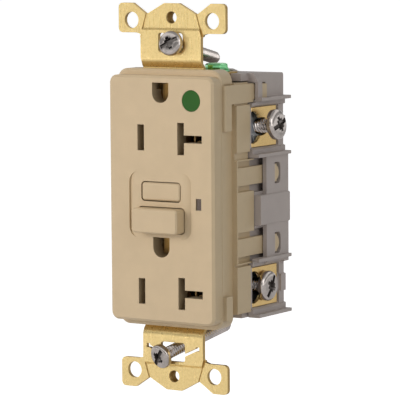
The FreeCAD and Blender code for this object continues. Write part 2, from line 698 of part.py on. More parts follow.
# ---------------------------------------------------------------- back body
def terminal_pocket(z):
    """Everything cut away for one right-hand terminal."""
    outer = POCKET_LIP_HALF + 1
    rise = (outer - PLATE_OUTER) / (POCKET_LIP_HALF - PLATE_OUTER) * POCKET_FLARE
    half = PLATE_HALF_HEIGHT + SEAT_GAP
    flared = prism_y([(PLATE_OUTER, z - half), (outer, z - half - rise), (outer, z + half + rise),
                      (PLATE_OUTER, z + half)], TERMINAL_WALL_REAR - 1, PLATE_REAR + POCKET_REAR_GAP)
    seat = box(PLATE_INNER, PLATE_OUTER + 1, PLATE_FRONT - SEAT_GAP, PLATE_REAR + SEAT_GAP,
               z - PLATE_HALF_HEIGHT - SEAT_GAP, z + PLATE_HALF_HEIGHT + SEAT_GAP)
    room = CLAMP_HALF + WELL_GAP
    clamp_space = box(CLAMP_WELL, PLATE_OUTER, PLATE_FRONT + WELL_GAP, TERMINAL_Y + room + CLAMP_SWING,
                      z - room, z + room)
    well = TERMINAL_SHANK_R + WELL_GAP
    screw_space = box(SCREW_WELL, CLAMP_WELL + 1, TERMINAL_Y - well, TERMINAL_Y + well, z - well, z + well)
    leg_space = box(LEG_END - 1, PLATE_OUTER, PLATE_REAR - LEG_T - SEAT_GAP, PLATE_REAR + SEAT_GAP,
                    z - LEG_HALF - SEAT_GAP, z + LEG_HALF + SEAT_GAP)
    wires = [rod(WIRE_R, V(POCKET_REAR_HALF + FIT, PLATE_REAR, z + side * WIRE_OFFSET), V(0, 1, 0), BODY_BACK)
             for side in (-1, 1)]
    return [flared, seat, clamp_space, screw_space, leg_space] + wires


def terminal_housing(z):
    """Right-hand walls around one terminal: lips above and below, and the wall behind."""
    lip = PLATE_HALF_HEIGHT + SEAT_GAP + POCKET_FLARE + POCKET_LIP
    lips = box(BODY_HALF - 1, POCKET_LIP_HALF, RIM_Y, BODY_BACK, z - lip, z + lip)
    space = box(POCKET_REAR_HALF, POCKET_LIP_HALF + 1, RIM_Y - 1, BODY_BACK + 1, z - lip + POCKET_LIP,
                z + lip - POCKET_LIP)
    return cut(lips, space)


def latch_walls():
    """Right-hand walls between the terminals: centre block, bars and the walls behind them."""
    front = COVER_REAR + JOINT_GAP
    block = box(CAVITY_HALF, BLOCK_HALF, front, BODY_BACK,
                SIDE_MID_Z - BLOCK_HALF_HEIGHT, SIDE_MID_Z + BLOCK_HALF_HEIGHT)
    pieces = [block.makeFillet(BLOCK_CORNER_R, edges_along(block, V(0, 1, 0), lambda p: p.x > BODY_HALF))]
    for z in LUGS_Z:
        pieces.append(box(CAVITY_HALF, MID_HALF, BAR_FRONT, BODY_BACK, *around(z, BAR_HALF + BAR_END)))
    return pieces


def latch_spaces():
    """Openings for the lugs under their bars, and the windows where the hooks show."""
    inner = BODY_HALF - LUG_THICK - BAR_GAP
    cuts = []
    for z in LUGS_Z:
        cuts.append(box(inner, BODY_HALF + BAR_GAP, RIM_Y, LUG_END + 2 * BAR_GAP, z - BAR_HALF, z + BAR_HALF))
        window = box(BODY_HALF, MID_HALF + 1, BAR_REAR, LUG_END + BAR_GAP, *around(z, LUG_HALF + WINDOW_GAP))
        corners = edges_along(window, V(1, 0, 0), lambda p: p.y > BAR_REAR + 1)
        cuts.append(window.makeFillet(WINDOW_R, corners))
    low = TOP_LUG_LOW - BAR_GAP
    high = TOP_LUG_HIGH + BAR_GAP
    cuts.append(box(inner, BODY_HALF + BAR_GAP, RIM_Y, TOP_LUG_END + BAR_GAP, low, high))
    cuts.append(box(BODY_HALF, TOP_BAR_HALF + 1, TOP_BAR_REAR, TOP_LUG_END + BAR_GAP, low, high))
    return cuts


def top_bar():
    """Bar that wraps over the upper edge of the body and holds the cover's top lug."""
    bar = box(CAVITY_HALF, TOP_BAR_HALF, TOP_BAR_FRONT, TOP_BAR_REAR, TOP_LUG_LOW - 2 * BAR_GAP, BODY_TOP)
    outer = edges_along(bar, V(0, 1, 0), lambda p: p.x > BODY_HALF and p.z > BODY_TOP - 1)
    return bar.makeFillet(TOP_BAR_BEND_R, outer)


def back_body():
    front = COVER_REAR + JOINT_GAP
    rear_top = BODY_TOP - BODY_DRAFT
    rear_bottom = BODY_BOTTOM + BOTTOM_DRAFT
    side = [(front, BODY_BOTTOM), (BODY_BACK, rear_bottom), (BODY_BACK, rear_top), (front, BODY_TOP)]
    core = prism_x(side, -BODY_HALF, BODY_HALF)
    core = core.makeFillet(REAR_EDGE_R, edges_along(core, V(1, 0, 0), lambda p: p.y > BODY_BACK - 1))
    hoods = []
    for low, high in ((END_WALL_Z + JOINT_GAP, BODY_TOP), (BODY_BOTTOM, -END_WALL_Z - JOINT_GAP)):
        hoods.append(box(-FACE_HALF + BAND_INSET, FACE_HALF - BAND_INSET, HOOD_FRONT, front + 1, low, high))
    left = [(-HUMP_FOOT, BODY_TOP - 1), (-HUMP_FOOT, BODY_TOP - HUMP_EDGE), (-HUMP_HALF, BODY_TOP + HUMP_RISE)]
    right = [(-x, z) for x, z in reversed(left)]
    hump = prism_y(left + right, HUMP_FRONT, HUMP_FRONT + HUMP_DEPTH)
    rim = box(-CARRIER_HALF, CARRIER_HALF, RIM_Y, front + 1, -END_CAVITY_Z + FIT, END_CAVITY_Z - FIT)
    sides = [top_bar()] + latch_walls()
    for z in TERMINALS_Z:
        sides.append(terminal_housing(z))
        sides.append(box(CAVITY_HALF, BODY_HALF, RIM_Y, front + 1, *around(z, PLATE_HALF_HEIGHT + WALL_MARGIN)))
    body = fuse(core, hump, rim, *hoods, *[s for piece in sides for s in both_sides(piece)])
    body = cut(body, box(-CAVITY_HALF, CAVITY_HALF, RIM_Y - 1, CAVITY_BACK, CAVITY_BOTTOM, END_CAVITY_Z - 1))
    inner = []
    for z in TERMINALS_Z:
        inner += both_sides(box(CLAMP_WELL - WELL_FLOOR, BODY_HALF - 1, RIM_Y, CAVITY_BACK + BODY_WALL / 2,
                                z - POCKET_HALF, min(z + POCKET_HALF, END_CAVITY_Z - BOARD_GAP)))
        half = TERMINAL_SHANK_R + WELL_GAP + WELL_FLOOR
        inner += both_sides(box(SCREW_WELL - WELL_FLOOR, CLAMP_WELL, *around(TERMINAL_Y, half), *around(z, half)))
    edge = BOARD_HALF - STAND_OFF_HALF
    rise = POCKET_HALF + STAND_OFF_HALF + STAND_OFF_GAP
    upper, lower = TERMINALS_Z
    for x, z in ((edge - STAND_OFF_INSET, upper + rise), (edge, upper - rise), (edge, lower + rise)):
        inner += both_sides(square_bar(STAND_OFF_HALF, x, z, BOARD_REAR, CAVITY_BACK + BODY_WALL / 2))
    body = fuse(body, *inner)
    cuts = [s for z in TERMINALS_Z for piece in terminal_pocket(z) for s in both_sides(piece)]
    cuts += [s for piece in latch_spaces() for s in both_sides(piece)]
    cuts.append(box(*around(GROUND_X, GROUND_TAB_HALF + FIT), 0, HUMP_FRONT, END_WALL_Z, BODY_TOP + 1))
    cuts += both_sides(box(CARRIER_HALF + FIT, POCKET_LIP_HALF + 1, RIM_Y - 1, front, BLOCK_LOW - JOINT_GAP,
                           BLOCK_HIGH + JOINT_GAP))
    return cut(body, *cuts)


# ---------------------------------------------------------------- strap
def strap_half_outline():
    """Right-hand half of the upper end of the strap, from the top centre down to the panel."""
    return [(0, STRAP_TOP), (STRAP_TOP_HALF, STRAP_TOP), (NOTCH_X, NOTCH_Z), (EAR_TOP_INNER, STRAP_TOP),
            (EAR_HALF, STRAP_TOP), (EAR_HALF, EAR_BOTTOM), (STRAP_HALF + EAR_SHOULDER, EAR_BOTTOM),
            (STRAP_HALF + NECK_FLARE, NECK_Z), (STRAP_HALF, NECK_Z - 1)]


def strap_section():
    """Side profile of the upper end: ears, the step forward, the panel and the bend into the body."""
    step_low = STEP_Z - STEP_FORWARD
    joggle_low = JOGGLE_Z - (INNER_FRONT - PANEL_FRONT)
    front = [(0, STRAP_TOP + 1), (0, STEP_Z), (PANEL_FRONT, step_low), (PANEL_FRONT, JOGGLE_Z),
             (INNER_FRONT, joggle_low), (INNER_FRONT, 0)]
    back = [(y + STRAP_T, z) for y, z in reversed(front)]
    return front + back


def strap_end():
    """Upper end of the strap in its bent form, before holes."""
    half = strap_half_outline()
    right = half + [(STRAP_HALF, 0), (0, 0)]
    blank = prism_y(right, PANEL_FRONT - 1, INNER_REAR + 1)
    corners = edges_along(blank, V(0, 1, 0), lambda p: p.x > EAR_TOP_INNER + 1)
    blank = blank.makeFillet(EAR_CORNER_R, corners)
    blank = fuse(blank, mirrored(blank))
    sheet = prism_x(strap_section(), -EAR_HALF, EAR_HALF)
    end = sheet.common(blank)
    flat_ears = prism_y([(x, z) for x, z in ((NOTCH_X, STRAP_TOP + 1), (EAR_HALF + 1, STRAP_TOP + 1),
                                             (EAR_HALF + 1, NECK_Z - 0.5), (STRAP_HALF + 0.1, NECK_Z - 0.5),
                                             (NOTCH_X, NOTCH_Z))], -2, 3)
    low = EAR_BOTTOM - 4
    flat = prism_y(half + [(STRAP_HALF, low), (0, low)], 0, STRAP_T)
    flat = flat.makeFillet(EAR_CORNER_R, edges_along(flat, V(0, 1, 0), lambda p: p.x > EAR_TOP_INNER + 1))
    end = cut(end, *both_sides(flat_ears))
    return fuse(end, *both_sides(flat.common(flat_ears)))


def score_line():
    """Break-off line between the panel and the right-hand ear."""
    run = V(STRAP_HALF + 0.1 - NOTCH_X, 0, NECK_Z - NOTCH_Z)
    groove = Part.makeBox(SCORE_WIDTH, SCORE_DEPTH * 2, run.Length + 2, V(-SCORE_WIDTH / 2, -SCORE_DEPTH, -1))
    groove.Placement = FreeCAD.Placement(V(NOTCH_X, 0, NOTCH_Z), FreeCAD.Rotation(V(0, 0, 1), run))
    return groove


def box_screw_slot():
    half_height = BOX_SLOT_HEIGHT / 2
    middle = BOX_SCREW_SPACING / 2
    slot = box(*around(0, BOX_SLOT_HALF), -CUT_REACH, CUT_REACH, *around(middle, half_height))
    return slot.makeFillet(SLOT_CORNER_R, edges_along(slot, V(0, 1, 0), lambda p: True))


def relief_slit(end_x):
    """Thin slit from the lower screw slot to a small hole."""
    start = V(BOX_SLOT_HALF * (1 if end_x > 0 else -1), -CUT_REACH, -BOX_SCREW_SPACING / 2 - SLIT_DROP)
    run = V(end_x, -CUT_REACH, SLIT_END_Z) - start
    slit = box(*around(0, SLIT_WIDTH / 2), 0, 2 * CUT_REACH, -SLIT_WIDTH, run.Length)
    slit.Placement = FreeCAD.Placement(start, FreeCAD.Rotation(V(0, 0, 1), run))
    return fuse(slit, square_bar(SLIT_END_HALF, end_x, SLIT_END_Z, -CUT_REACH, CUT_REACH))


def mounting_strap():
    top = strap_end()
    bottom = top.mirror(V(0, 0, 0), V(0, 0, 1))
    strap = fuse(top, bottom)
    trims = []
    end = END_CAVITY_Z - 3 * FIT
    for low, high in ((MIDDLE_TOP, end), (-end, MIDDLE_BOTTOM)):
        trims += both_sides(box(SPINE_HALF, STRAP_HALF + 1, -CUT_REACH, CUT_REACH, low, high))
    for z in OUTLETS_Z:
        trims.append(pin_clearance(z + GROUND_RISE, -CUT_REACH, CUT_REACH))
    trims.append(square_bar(STEM_R + STRAP_CLEAR, 0, RESET_Z, -CUT_REACH, CUT_REACH))
    trims.append(square_bar(TEST_STEM_HALF + STRAP_CLEAR / 2, 0, TEST_Z, -CUT_REACH, CUT_REACH))
    collars = []
    for side in (-1, 1):
        hole_z = side * PLATE_SCREW_SPACING / 2
        collars.append(rod(COLLAR_R, V(0, STRAP_T / 2, hole_z), V(0, 1, 0), COLLAR_LENGTH + STRAP_T / 2))
        trims.append(rod(PLATE_SCREW_R, V(0, -CUT_REACH, hole_z), V(0, 1, 0), 2 * CUT_REACH))
        for x in (-EAR_HOLE_X, EAR_HOLE_X):
            trims.append(rod(EAR_HOLE_R, V(x, -CUT_REACH, side * EAR_HOLE_Z), V(0, 1, 0), 2 * CUT_REACH))
    slot = box_screw_slot()
    grooves = both_sides(score_line())
    for piece in [slot] + grooves:
        trims += [piece, piece.mirror(V(0, 0, 0), V(0, 0, 1))]
    trims += [relief_slit(SLIT_END_X), relief_slit(-SLIT_END_X)]
    tab_low = GROUND_TAB_TOP - STRAP_T
    tab = box(GROUND_X - GROUND_TAB_HALF, STRAP_HALF, INNER_FRONT, INNER_REAR + 1, tab_low, GROUND_TAB_TOP)
    ledge = box(*around(GROUND_X, GROUND_TAB_HALF), INNER_REAR, HUMP_FRONT - FIT, tab_low, GROUND_TAB_TOP)
    room = GROUND_SHANK_R + SHAFT_GAP
    pierced = box(*around(GROUND_X, room), *around(GROUND_Y, room), tab_low - 1, GROUND_TAB_TOP + 1)
    strap = fuse(strap, tab, ledge, *collars)
    return cut(strap, pierced, *trims)


def ground_contact(z):
    """Spring clip behind the strap that grips a ground pin from both sides."""
    pin = GROUND_WIDTH / 2
    outer = pin + CLIP_WALL
    edge = FIT + SEAT_GAP
    ring = box(*around(0, outer), INNER_REAR, INNER_REAR + STRIP_T, z - pin - edge, z + GROUND_TOP + edge)
    ring = cut(ring, pin_clearance(z, INNER_REAR - 1, INNER_REAR + STRIP_T + 1))
    start = INNER_REAR + STRIP_T - JOINED
    end = CARRIER_FRONT - 3 * FIT
    bend = end - CLIP_MOUTH
    outline = [(outer - LEAF_T - FIT, start), (outer - SEAT_GAP, start), (pin + LEAF_T, bend)]
    outline += [(pin + LEAF_T + LEAF_FLARE, end), (pin + LEAF_FLARE, end), (pin, bend)]
    leaf = prism_z(outline, z - CLIP_LOW, z + CLIP_HIGH)
    return fuse(ring, *both_sides(leaf))


# ---------------------------------------------------------------- buttons and indicator
def button(width, height, z, proud, bevel):
    """Hollow button with a retaining lip behind the face."""
    front = FACE_Y - proud
    back = FACE_INNER_Y + BUTTON_LIP + SEAT_GAP
    key = slab(width / 2, height / 2, BUTTON_CORNER_R, front, back, 0, z)
    key = key.makeChamfer(bevel, front_loop(key, front))
    lip = box(-width / 2 - BUTTON_LIP, width / 2 + BUTTON_LIP, FACE_INNER_Y + SEAT_GAP, back,
              z - height / 2 - BUTTON_LIP_RISE, z + height / 2 + BUTTON_LIP_RISE)
    hollow = box(-width / 2 + BUTTON_WALL, width / 2 - BUTTON_WALL, front + BUTTON_INSIDE, back + 1,
                 z - height / 2 + BUTTON_WALL, z + height / 2 - BUTTON_WALL)
    return cut(fuse(key, lip), hollow)


def test_button():
    key = button(TEST_WIDTH, TEST_HEIGHT, TEST_Z, TEST_PROUD, TEST_EDGE)
    start = FACE_Y - TEST_PROUD + BUTTON_INSIDE - JOINED
    return fuse(key, square_bar(TEST_STEM_HALF, 0, TEST_Z, start, TEST_LEAF_Y - TEST_GAP))


def reset_button():
    return button(RESET_WIDTH, RESET_HEIGHT, RESET_Z, RESET_PROUD, RESET_EDGE)


def reset_stem():
    """Steel pin behind the reset button, with the neck that the latch plate grips."""
    start = FACE_Y - RESET_PROUD + BUTTON_INSIDE
    neck_start = LATCH_Y - RESET_TRAVEL - SEAT_GAP
    neck_end = neck_start + LATCH_T + 2 * SEAT_GAP
    front = turned_bar(STEM_R, V(0, start, RESET_Z), V(0, 1, 0), neck_start - start)
    neck = turned_bar(NECK_R, V(0, start, RESET_Z), V(0, 1, 0), STEM_END - start)
    rear = turned_bar(STEM_R, V(0, neck_end, RESET_Z), V(0, 1, 0), STEM_END - neck_end)
    return fuse(front, neck, rear)


def reset_spring():
    start = FACE_Y - RESET_PROUD + BUTTON_INSIDE + SPRING_END
    length = CARRIER_FRONT - SPRING_END - start
    coil_r = STEM_R + FIT + SPRING_WIRE / 2
    return coil_spring(V(0, start, RESET_Z), V(0, 1, 0), coil_r, SPRING_WIRE, SPRING_TURNS, length)


def test_spring():
    """Bronze leaf that closes the test circuit when the test button bends it."""
    width = around(0, TEST_LEAF_HALF)
    leaf = box(*width, TEST_LEAF_Y, TEST_LEAF_Y + TEST_LEAF_T, TEST_TIP_Z, TEST_HINGE_Z)
    tip = box(*width, TEST_LEAF_Y, TEST_LEAF_Y + 2 * TEST_LEAF_T, TEST_TIP_Z, TEST_TIP_Z + TEST_TIP_HEIGHT)
    return fuse(leaf, tip)


def test_contact_pin():
    pin_y = TEST_LEAF_Y + 2 * TEST_LEAF_T + TEST_SWING
    start = V(0, pin_y, TEST_TIP_Z + TEST_TIP_HEIGHT / 2)
    return turned_bar(TEST_PIN_R, start, V(0, 1, 0), BOARD_FRONT - pin_y)


def indicator_lens():
    """Clear light pipe from the window in the face to the lamp on the board."""
    window = box(*around(LENS_X, (LENS_WIDTH - SEAT_GAP) / 2), FACE_Y + LENS_SINK, FACE_INNER_Y,
                 *around(LENS_Z, (LENS_HEIGHT - SEAT_GAP) / 2))
    shoulder = box(*around(LENS_X, LENS_WIDTH / 2 + LENS_SHOULDER), FACE_INNER_Y, FACE_INNER_Y + 2 * LENS_SHOULDER,
                   *around(LENS_Z, LENS_HEIGHT / 2 + LENS_SHOULDER))
    pipe = box(*around(LENS_X, PIPE_HALF_X), FACE_INNER_Y, LAMP_Y - SEAT_GAP, *around(LENS_Z, PIPE_HALF_Z))
    return fuse(window, shoulder, pipe)


def indicator_lamp():
    lamp = box(*around(LENS_X, PIPE_HALF_X + LAMP_MARGIN), LAMP_Y, BOARD_FRONT,
               *around(LENS_Z, PIPE_HALF_Z + LAMP_MARGIN))
    return lamp.makeChamfer(2 * LAMP_MARGIN, front_loop(lamp, LAMP_Y))


def grade_dot():
    return rod(DOT_R, V(DOT_X, FACE_Y, DOT_Z), V(0, 1, 0), DOT_THICK)


# ---------------------------------------------------------------- terminals
def terminal_plate(z):
    """Right-hand brass plate with a wire mouth open to the front, a screw slot and a leg to the board."""
    plate = box(PLATE_INNER, PLATE_OUTER, PLATE_FRONT, PLATE_REAR, *around(z, PLATE_HALF_HEIGHT))
    leg = box(LEG_END, PLATE_OUTER, PLATE_REAR - LEG_T, PLATE_REAR, *around(z, LEG_HALF))
    mouth = rod(MOUTH_R, V(PLATE_INNER - 1, PLATE_FRONT + MOUTH_Y, z), V(1, 0, 0), PLATE_T + 2)
    throat = fuse(box(PLATE_INNER - 1, PLATE_OUTER + 1, PLATE_FRONT, TERMINAL_Y, *around(z, THROAT_HALF)),
                  rod(THROAT_HALF, V(PLATE_INNER - 1, TERMINAL_Y, z), V(1, 0, 0), PLATE_T + 2))
    return cut(fuse(plate, leg), mouth, throat)


def terminal_frame(shape, z, tilt):
    """Leans a loose screw and its clamp about the screw slot."""
    shape.rotate(V(PLATE_INNER, TERMINAL_Y, z), V(0, 1, 0), -tilt)
    return shape


def terminal_clamp(z, space, tilt):
    """Right-hand steel pressure plate that the terminal screw draws up under the brass plate."""
    top = PLATE_INNER - space
    foot = top - CLAMP_T
    plate = box(foot, top, TERMINAL_Y - CLAMP_FRONT, TERMINAL_Y + CLAMP_HALF, *around(z, CLAMP_HALF))
    tongue = box(foot, top, TERMINAL_Y - CLAMP_TONGUE, TERMINAL_Y, *around(z, CLAMP_TONGUE_HALF))
    hole = turned_bar(TERMINAL_SHANK_R + CLAMP_HOLE_GAP, V(foot - 1, TERMINAL_Y, z), V(1, 0, 0), CLAMP_T + 2)
    return terminal_frame(cut(fuse(plate, tongue), hole), z, tilt)


def terminal_screw(z, lift, tilt):
    base = V(PLATE_OUTER + HEAD_GAP + lift, TERMINAL_Y, z)
    screw = pan_screw(base, V(1, 0, 0), TERMINAL_HEAD_R, TERMINAL_HEAD_H,
                      TERMINAL_SHANK_R, TERMINAL_SHANK_LENGTH)
    return terminal_frame(screw, z, tilt)


# ---------------------------------------------------------------- fasteners
def box_screw(through, droop, yaw, stand):
    """Captive screw that leans in its slot; through is the point where its axis crosses the panel."""
    level = cos(radians(droop))
    axis = V(sin(radians(yaw)) * level, -cos(radians(yaw)) * level, sin(radians(droop)))
    return pan_screw(through + axis * stand, axis, BOX_HEAD_R, BOX_HEAD_H, BOX_SHANK_R, BOX_SCREW_LENGTH)


def ground_screw():
    base = GROUND_TAB_TOP + SEAT_GAP
    top = base + GROUND_HEAD_H
    head = turned_bar(GROUND_HEX / sqrt(3), V(GROUND_X, GROUND_Y, base), V(0, 0, 1), GROUND_HEAD_H, 6)
    start = V(GROUND_X, GROUND_Y, base - GROUND_SHANK_LENGTH)
    shank = rod(GROUND_SHANK_R, start, V(0, 0, 1), GROUND_SHANK_LENGTH)
    slot = box(*around(GROUND_X, GROUND_HEX), *around(GROUND_Y, RECESS_SLOT / 2), top - RECESS_DEPTH, top + 1)
    return cut(fuse(head, shank), slot)


# ---------------------------------------------------------------- contacts and carrier
def contact_pair(x, z, height):
    """Two spring leaves that grip a blade from both sides, flared at the mouth."""
    inner = LEAF_GAP / 2
    outer = inner + LEAF_T
    bend = LEAF_FRONT + LEAF_FLARE_LENGTH
    root = STRIP_FRONT + JOINED
    outline = [(inner, root), (inner, bend), (inner + LEAF_FLARE, LEAF_FRONT)]
    outline += [(outer + LEAF_FLARE, LEAF_FRONT), (outer, bend), (outer, root)]
    leaf = prism_z([(x + dx, y) for dx, y in outline], *around(z, height / 2))
    return [leaf, leaf.mirror(V(x, 0, 0), V(1, 0, 0))]


def tee_pair(z):
    """Leaves above and below the horizontal arm of the T slot."""
    inner = LEAF_GAP / 2
    leaf = box(BLADE_X + TEE_LEAF_START, TEE_LEAF_END, LEAF_FRONT + LEAF_FLARE, STRIP_FRONT + JOINED,
               z + inner, z + inner + LEAF_T)
    return [leaf, leaf.mirror(V(0, 0, z), V(0, 0, 1))]


def contact_strip(side):
    """One brass strip that joins the contacts of both outlets and its load terminal."""
    strip = box(STRIP_IN, STRIP_OUT, STRIP_FRONT, CARRIER_FRONT, STRIP_BOTTOM, STRIP_TOP)
    strip = cut(strip, box(STRIP_IN - 1, BLADE_X + LEAF_GAP, STRIP_FRONT - 1, CARRIER_FRONT + 1,
                           RESET_Z - STRIP_BAY, TEST_Z + STRIP_BAY))
    riser = box(STRIP_OUT - STRIP_T, STRIP_OUT, STRIP_FRONT, BOARD_FRONT, STRIP_TOP - RISER_HEIGHT, STRIP_TOP)
    pad = box(STRIP_OUT - 1, ARM_X + ARM_HALF, STRIP_FRONT, CARRIER_FRONT, *around(CONTACT_Z, PAD_HALF))
    fixed = square_bar(CONTACT_HALF, ARM_X, CONTACT_Z, STRIP_FRONT, ARM_Y - CONTACT_T - CONTACT_OPEN)
    strip = fuse(strip, riser, pad, fixed)
    if side < 0:
        strip = mirrored(strip)
    leaves = []
    for z in OUTLETS_Z:
        leaves += contact_pair(side * BLADE_X, z, LEAF_HEIGHT)
        if side > 0:
            leaves += tee_pair(z)
            leaves.append(box(STRIP_OUT - 1, TEE_LEAF_END, STRIP_FRONT, CARRIER_FRONT, *around(z, PAD_HALF)))
    blade_gaps = [box(*around(side * BLADE_X, LEAF_GAP / 2), STRIP_FRONT - 1, CARRIER_FRONT + 1,
                      *around(z, HOT_SLOT_HEIGHT / 2)) for z in OUTLETS_Z]
    return cut(fuse(strip, *leaves), *blade_gaps)


def contact_carrier():
    """Insulating plate between the strap and the circuit board; it carries the contact strips."""
    half_z = END_CAVITY_Z - FIT
    plate = box(-CARRIER_HALF, CARRIER_HALF, CARRIER_FRONT, RIM_Y, -half_z, half_z)
    posts = []
    for z in (MIDDLE_TOP - POST_HALF - SLOT_CORNER_R, MIDDLE_BOTTOM + 3 * POST_HALF):
        posts += both_sides(square_bar(POST_HALF, POST_X, z, INNER_REAR, CARRIER_FRONT + JOINED))
    seat = box(-TEST_SEAT_HALF, TEST_SEAT_HALF, RIM_Y - JOINED, TEST_LEAF_Y,
               TEST_HINGE_Z - TEST_LEAF_T * 2, TEST_HINGE_Z + TEST_LEAF_T * 3)
    depth = (CARRIER_FRONT - 1, RIM_Y + 1)
    openings = [turned_bar(STEM_R + 2 * FIT, V(0, depth[0], RESET_Z), V(0, 1, 0), depth[1] - depth[0]),
                square_bar(TEST_STEM_HALF + 2 * FIT, 0, TEST_Z, *depth),
                box(*around(LENS_X, PIPE_HALF_X + FIT), *depth, *around(LENS_Z, PIPE_HALF_Z + FIT))]
    openings += both_sides(box(STRIP_OUT - STRIP_T - FIT, STRIP_OUT + FIT, *depth,
                               STRIP_TOP - RISER_HEIGHT - FIT, STRIP_TOP + FIT))
    openings += both_sides(square_bar(CONTACT_HALF + FIT, ARM_X, CONTACT_Z, *depth))
    for z in OUTLETS_Z:
        openings += both_sides(box(*around(BLADE_X, SLOT_WIDTH / 2), *depth, *around(z, NEUTRAL_SLOT_HEIGHT / 2)))
        openings.append(pin_clearance(z + GROUND_RISE, *depth))
    shank = GROUND_SHANK_R + FIT
    openings.append(box(*around(GROUND_X, shank), depth[0], GROUND_Y + shank,
                        GROUND_TAB_TOP - GROUND_SHANK_LENGTH - FIT, half_z + 1))
    return cut(fuse(plate, seat, *posts), *openings)


# ---------------------------------------------------------------- circuit board and sensing
def circuit_board():
    board = box(-BOARD_HALF, BOARD_HALF, BOARD_FRONT, BOARD_REAR, BOARD_BOTTOM, END_CAVITY_Z - BOARD_TOP_GAP)
    notches = []
    for z in TERMINALS_Z:
        notches += both_sides(box(BOARD_NECK_HALF, BOARD_HALF + 1, BOARD_FRONT - 1, BOARD_REAR + 1,
                                  *around(z, POCKET_HALF + BOARD_NOTCH_GAP)))
    return cut(board, *notches)


def sensor_coil(y):
    """Taped ring core with its winding."""
    ring = turned_bar(COIL_R, V(0, y, COIL_Z), V(0, 1, 0), COIL_H, COIL_SIDES)
    return cut(ring, turned_bar(COIL_HOLE_R, V(0, y - 1, COIL_Z), V(0, 1, 0), COIL_H + 2, COIL_SIDES))


def coil_holder():
    """Square moulded frame that stands on the board and holds both sensing coils."""
    inside = COIL_R + FIT
    half = inside + CUP_WALL
    front = BOARD_FRONT - CUP_WALL - 2 * COIL_H - 3 * FIT
    frame = cut(box(-half, half, front, BOARD_FRONT, COIL_Z - half, COIL_Z + half),
                box(-inside, inside, front - 1, BOARD_FRONT - CUP_WALL, COIL_Z - inside, COIL_Z + inside))
    opening = COIL_HOLE_R / sqrt(2)
    return cut(frame, box(-opening, opening, front, BOARD_FRONT + 1, COIL_Z - opening, COIL_Z + opening))


def busbar(side):
    """Line conductor that threads both coils and feeds the root of a contact arm."""
    front = RIM_Y + SEAT_GAP
    outer = ARM_X + ARM_HALF
    through = box(BAR_IN, BAR_OUT, front, BOARD_FRONT, *around(COIL_Z, BAR_RISE))
    across = box(BAR_IN, outer, front, front + BAR_T, *around(COIL_Z, BAR_RISE + BAR_EDGE))
    down = box(ARM_X - BAR_EDGE, outer, front, front + BAR_T, ARM_ROOT_Z - FOOT_HALF, COIL_Z)
    foot = box(ARM_X - BAR_EDGE, outer, front, ARM_Y - SEAT_GAP, *around(ARM_ROOT_Z, FOOT_HALF))
    bar = fuse(through, across, down, foot)
    return mirrored(bar) if side < 0 else bar


# ---------------------------------------------------------------- trip mechanism
def contact_arm(side):
    """Bronze arm that carries a moving contact; it bends about its root."""
    arm = box(ARM_X - ARM_HALF, ARM_X + ARM_HALF, ARM_Y, ARM_Y + ARM_T, ARM_TIP_Z, ARM_ROOT_Z + FOOT_HALF)
    arm = fuse(arm, square_bar(CONTACT_HALF, ARM_X, CONTACT_Z, ARM_Y - CONTACT_T, ARM_Y + JOINED))
    return mirrored(arm) if side < 0 else arm


def lifter_block():
    """Moulded block on the reset stem that lifts both contact arms."""
    block = box(-LIFTER_HALF, LIFTER_HALF, LIFTER_FRONT, LIFTER_REAR, LIFTER_BOTTOM, LIFTER_TOP)
    wings = both_sides(box(LIFTER_HALF - 1, WING_OUT, ARM_Y + ARM_T + FIT, ARM_Y + ARM_T + FIT + WING_T,
                           RESET_Z - WING_HALF, RESET_Z + WING_HALF))
    start = LIFTER_FRONT - 1
    bore = turned_bar(STEM_R + FIT, V(0, start, RESET_Z), V(0, 1, 0), LIFTER_REAR + 1 - start)
    slot = box(-LATCH_HALF - FIT, LATCH_HALF + FIT, LATCH_Y - FIT, LATCH_Y + LATCH_T + FIT,
               LIFTER_BOTTOM - 1, LIFTER_TOP + 1)
    room = PLUNGER_R + FIT
    notch = box(-room, room, SOLENOID_Y - room, LIFTER_REAR + 1, LIFTER_BOTTOM - 1,
                LIFTER_BOTTOM - PLUNGER_GAP + TRIP_TRAVEL + FIT)
    return cut(fuse(block, *wings), bore, slot, notch)


def latch_plate():
    """Sliding steel plate whose keyhole holds the reset stem until the solenoid pushes it."""
    plate = box(-LATCH_HALF, LATCH_HALF, LATCH_Y, LATCH_Y + LATCH_T, LIFTER_BOTTOM - LATCH_FOOT,
                LIFTER_TOP + LATCH_HEAD)
    radius = STEM_R + FIT
    low = RESET_Z - TRIP_TRAVEL
    key = fuse(turned_bar(radius, V(0, LATCH_Y - 1, RESET_Z), V(0, 1, 0), LATCH_T + 2),
               turned_bar(radius, V(0, LATCH_Y - 1, low), V(0, 1, 0), LATCH_T + 2),
               box(-radius, radius, LATCH_Y - 1, LATCH_Y + LATCH_T + 1, low, RESET_Z))
    return cut(plate, key)


def solenoid_bobbin():
    tube = box(*around(0, BOBBIN_TUBE_HALF), *around(SOLENOID_Y, BOBBIN_TUBE_HALF), SOLENOID_BOTTOM, SOLENOID_TOP)
    front = SOLENOID_Y - BOBBIN_FLANGE_HALF
    ends = [box(*around(0, BOBBIN_FLANGE_HALF), front, BOARD_FRONT, z, z + BOBBIN_END_T)
            for z in (SOLENOID_BOTTOM, SOLENOID_TOP - BOBBIN_END_T)]
    bore = turned_bar(PLUNGER_R + FIT, V(0, SOLENOID_Y, SOLENOID_BOTTOM + BOBBIN_END_T), V(0, 0, 1),
                      SOLENOID_TOP - SOLENOID_BOTTOM)
    return cut(fuse(tube, *ends), bore)


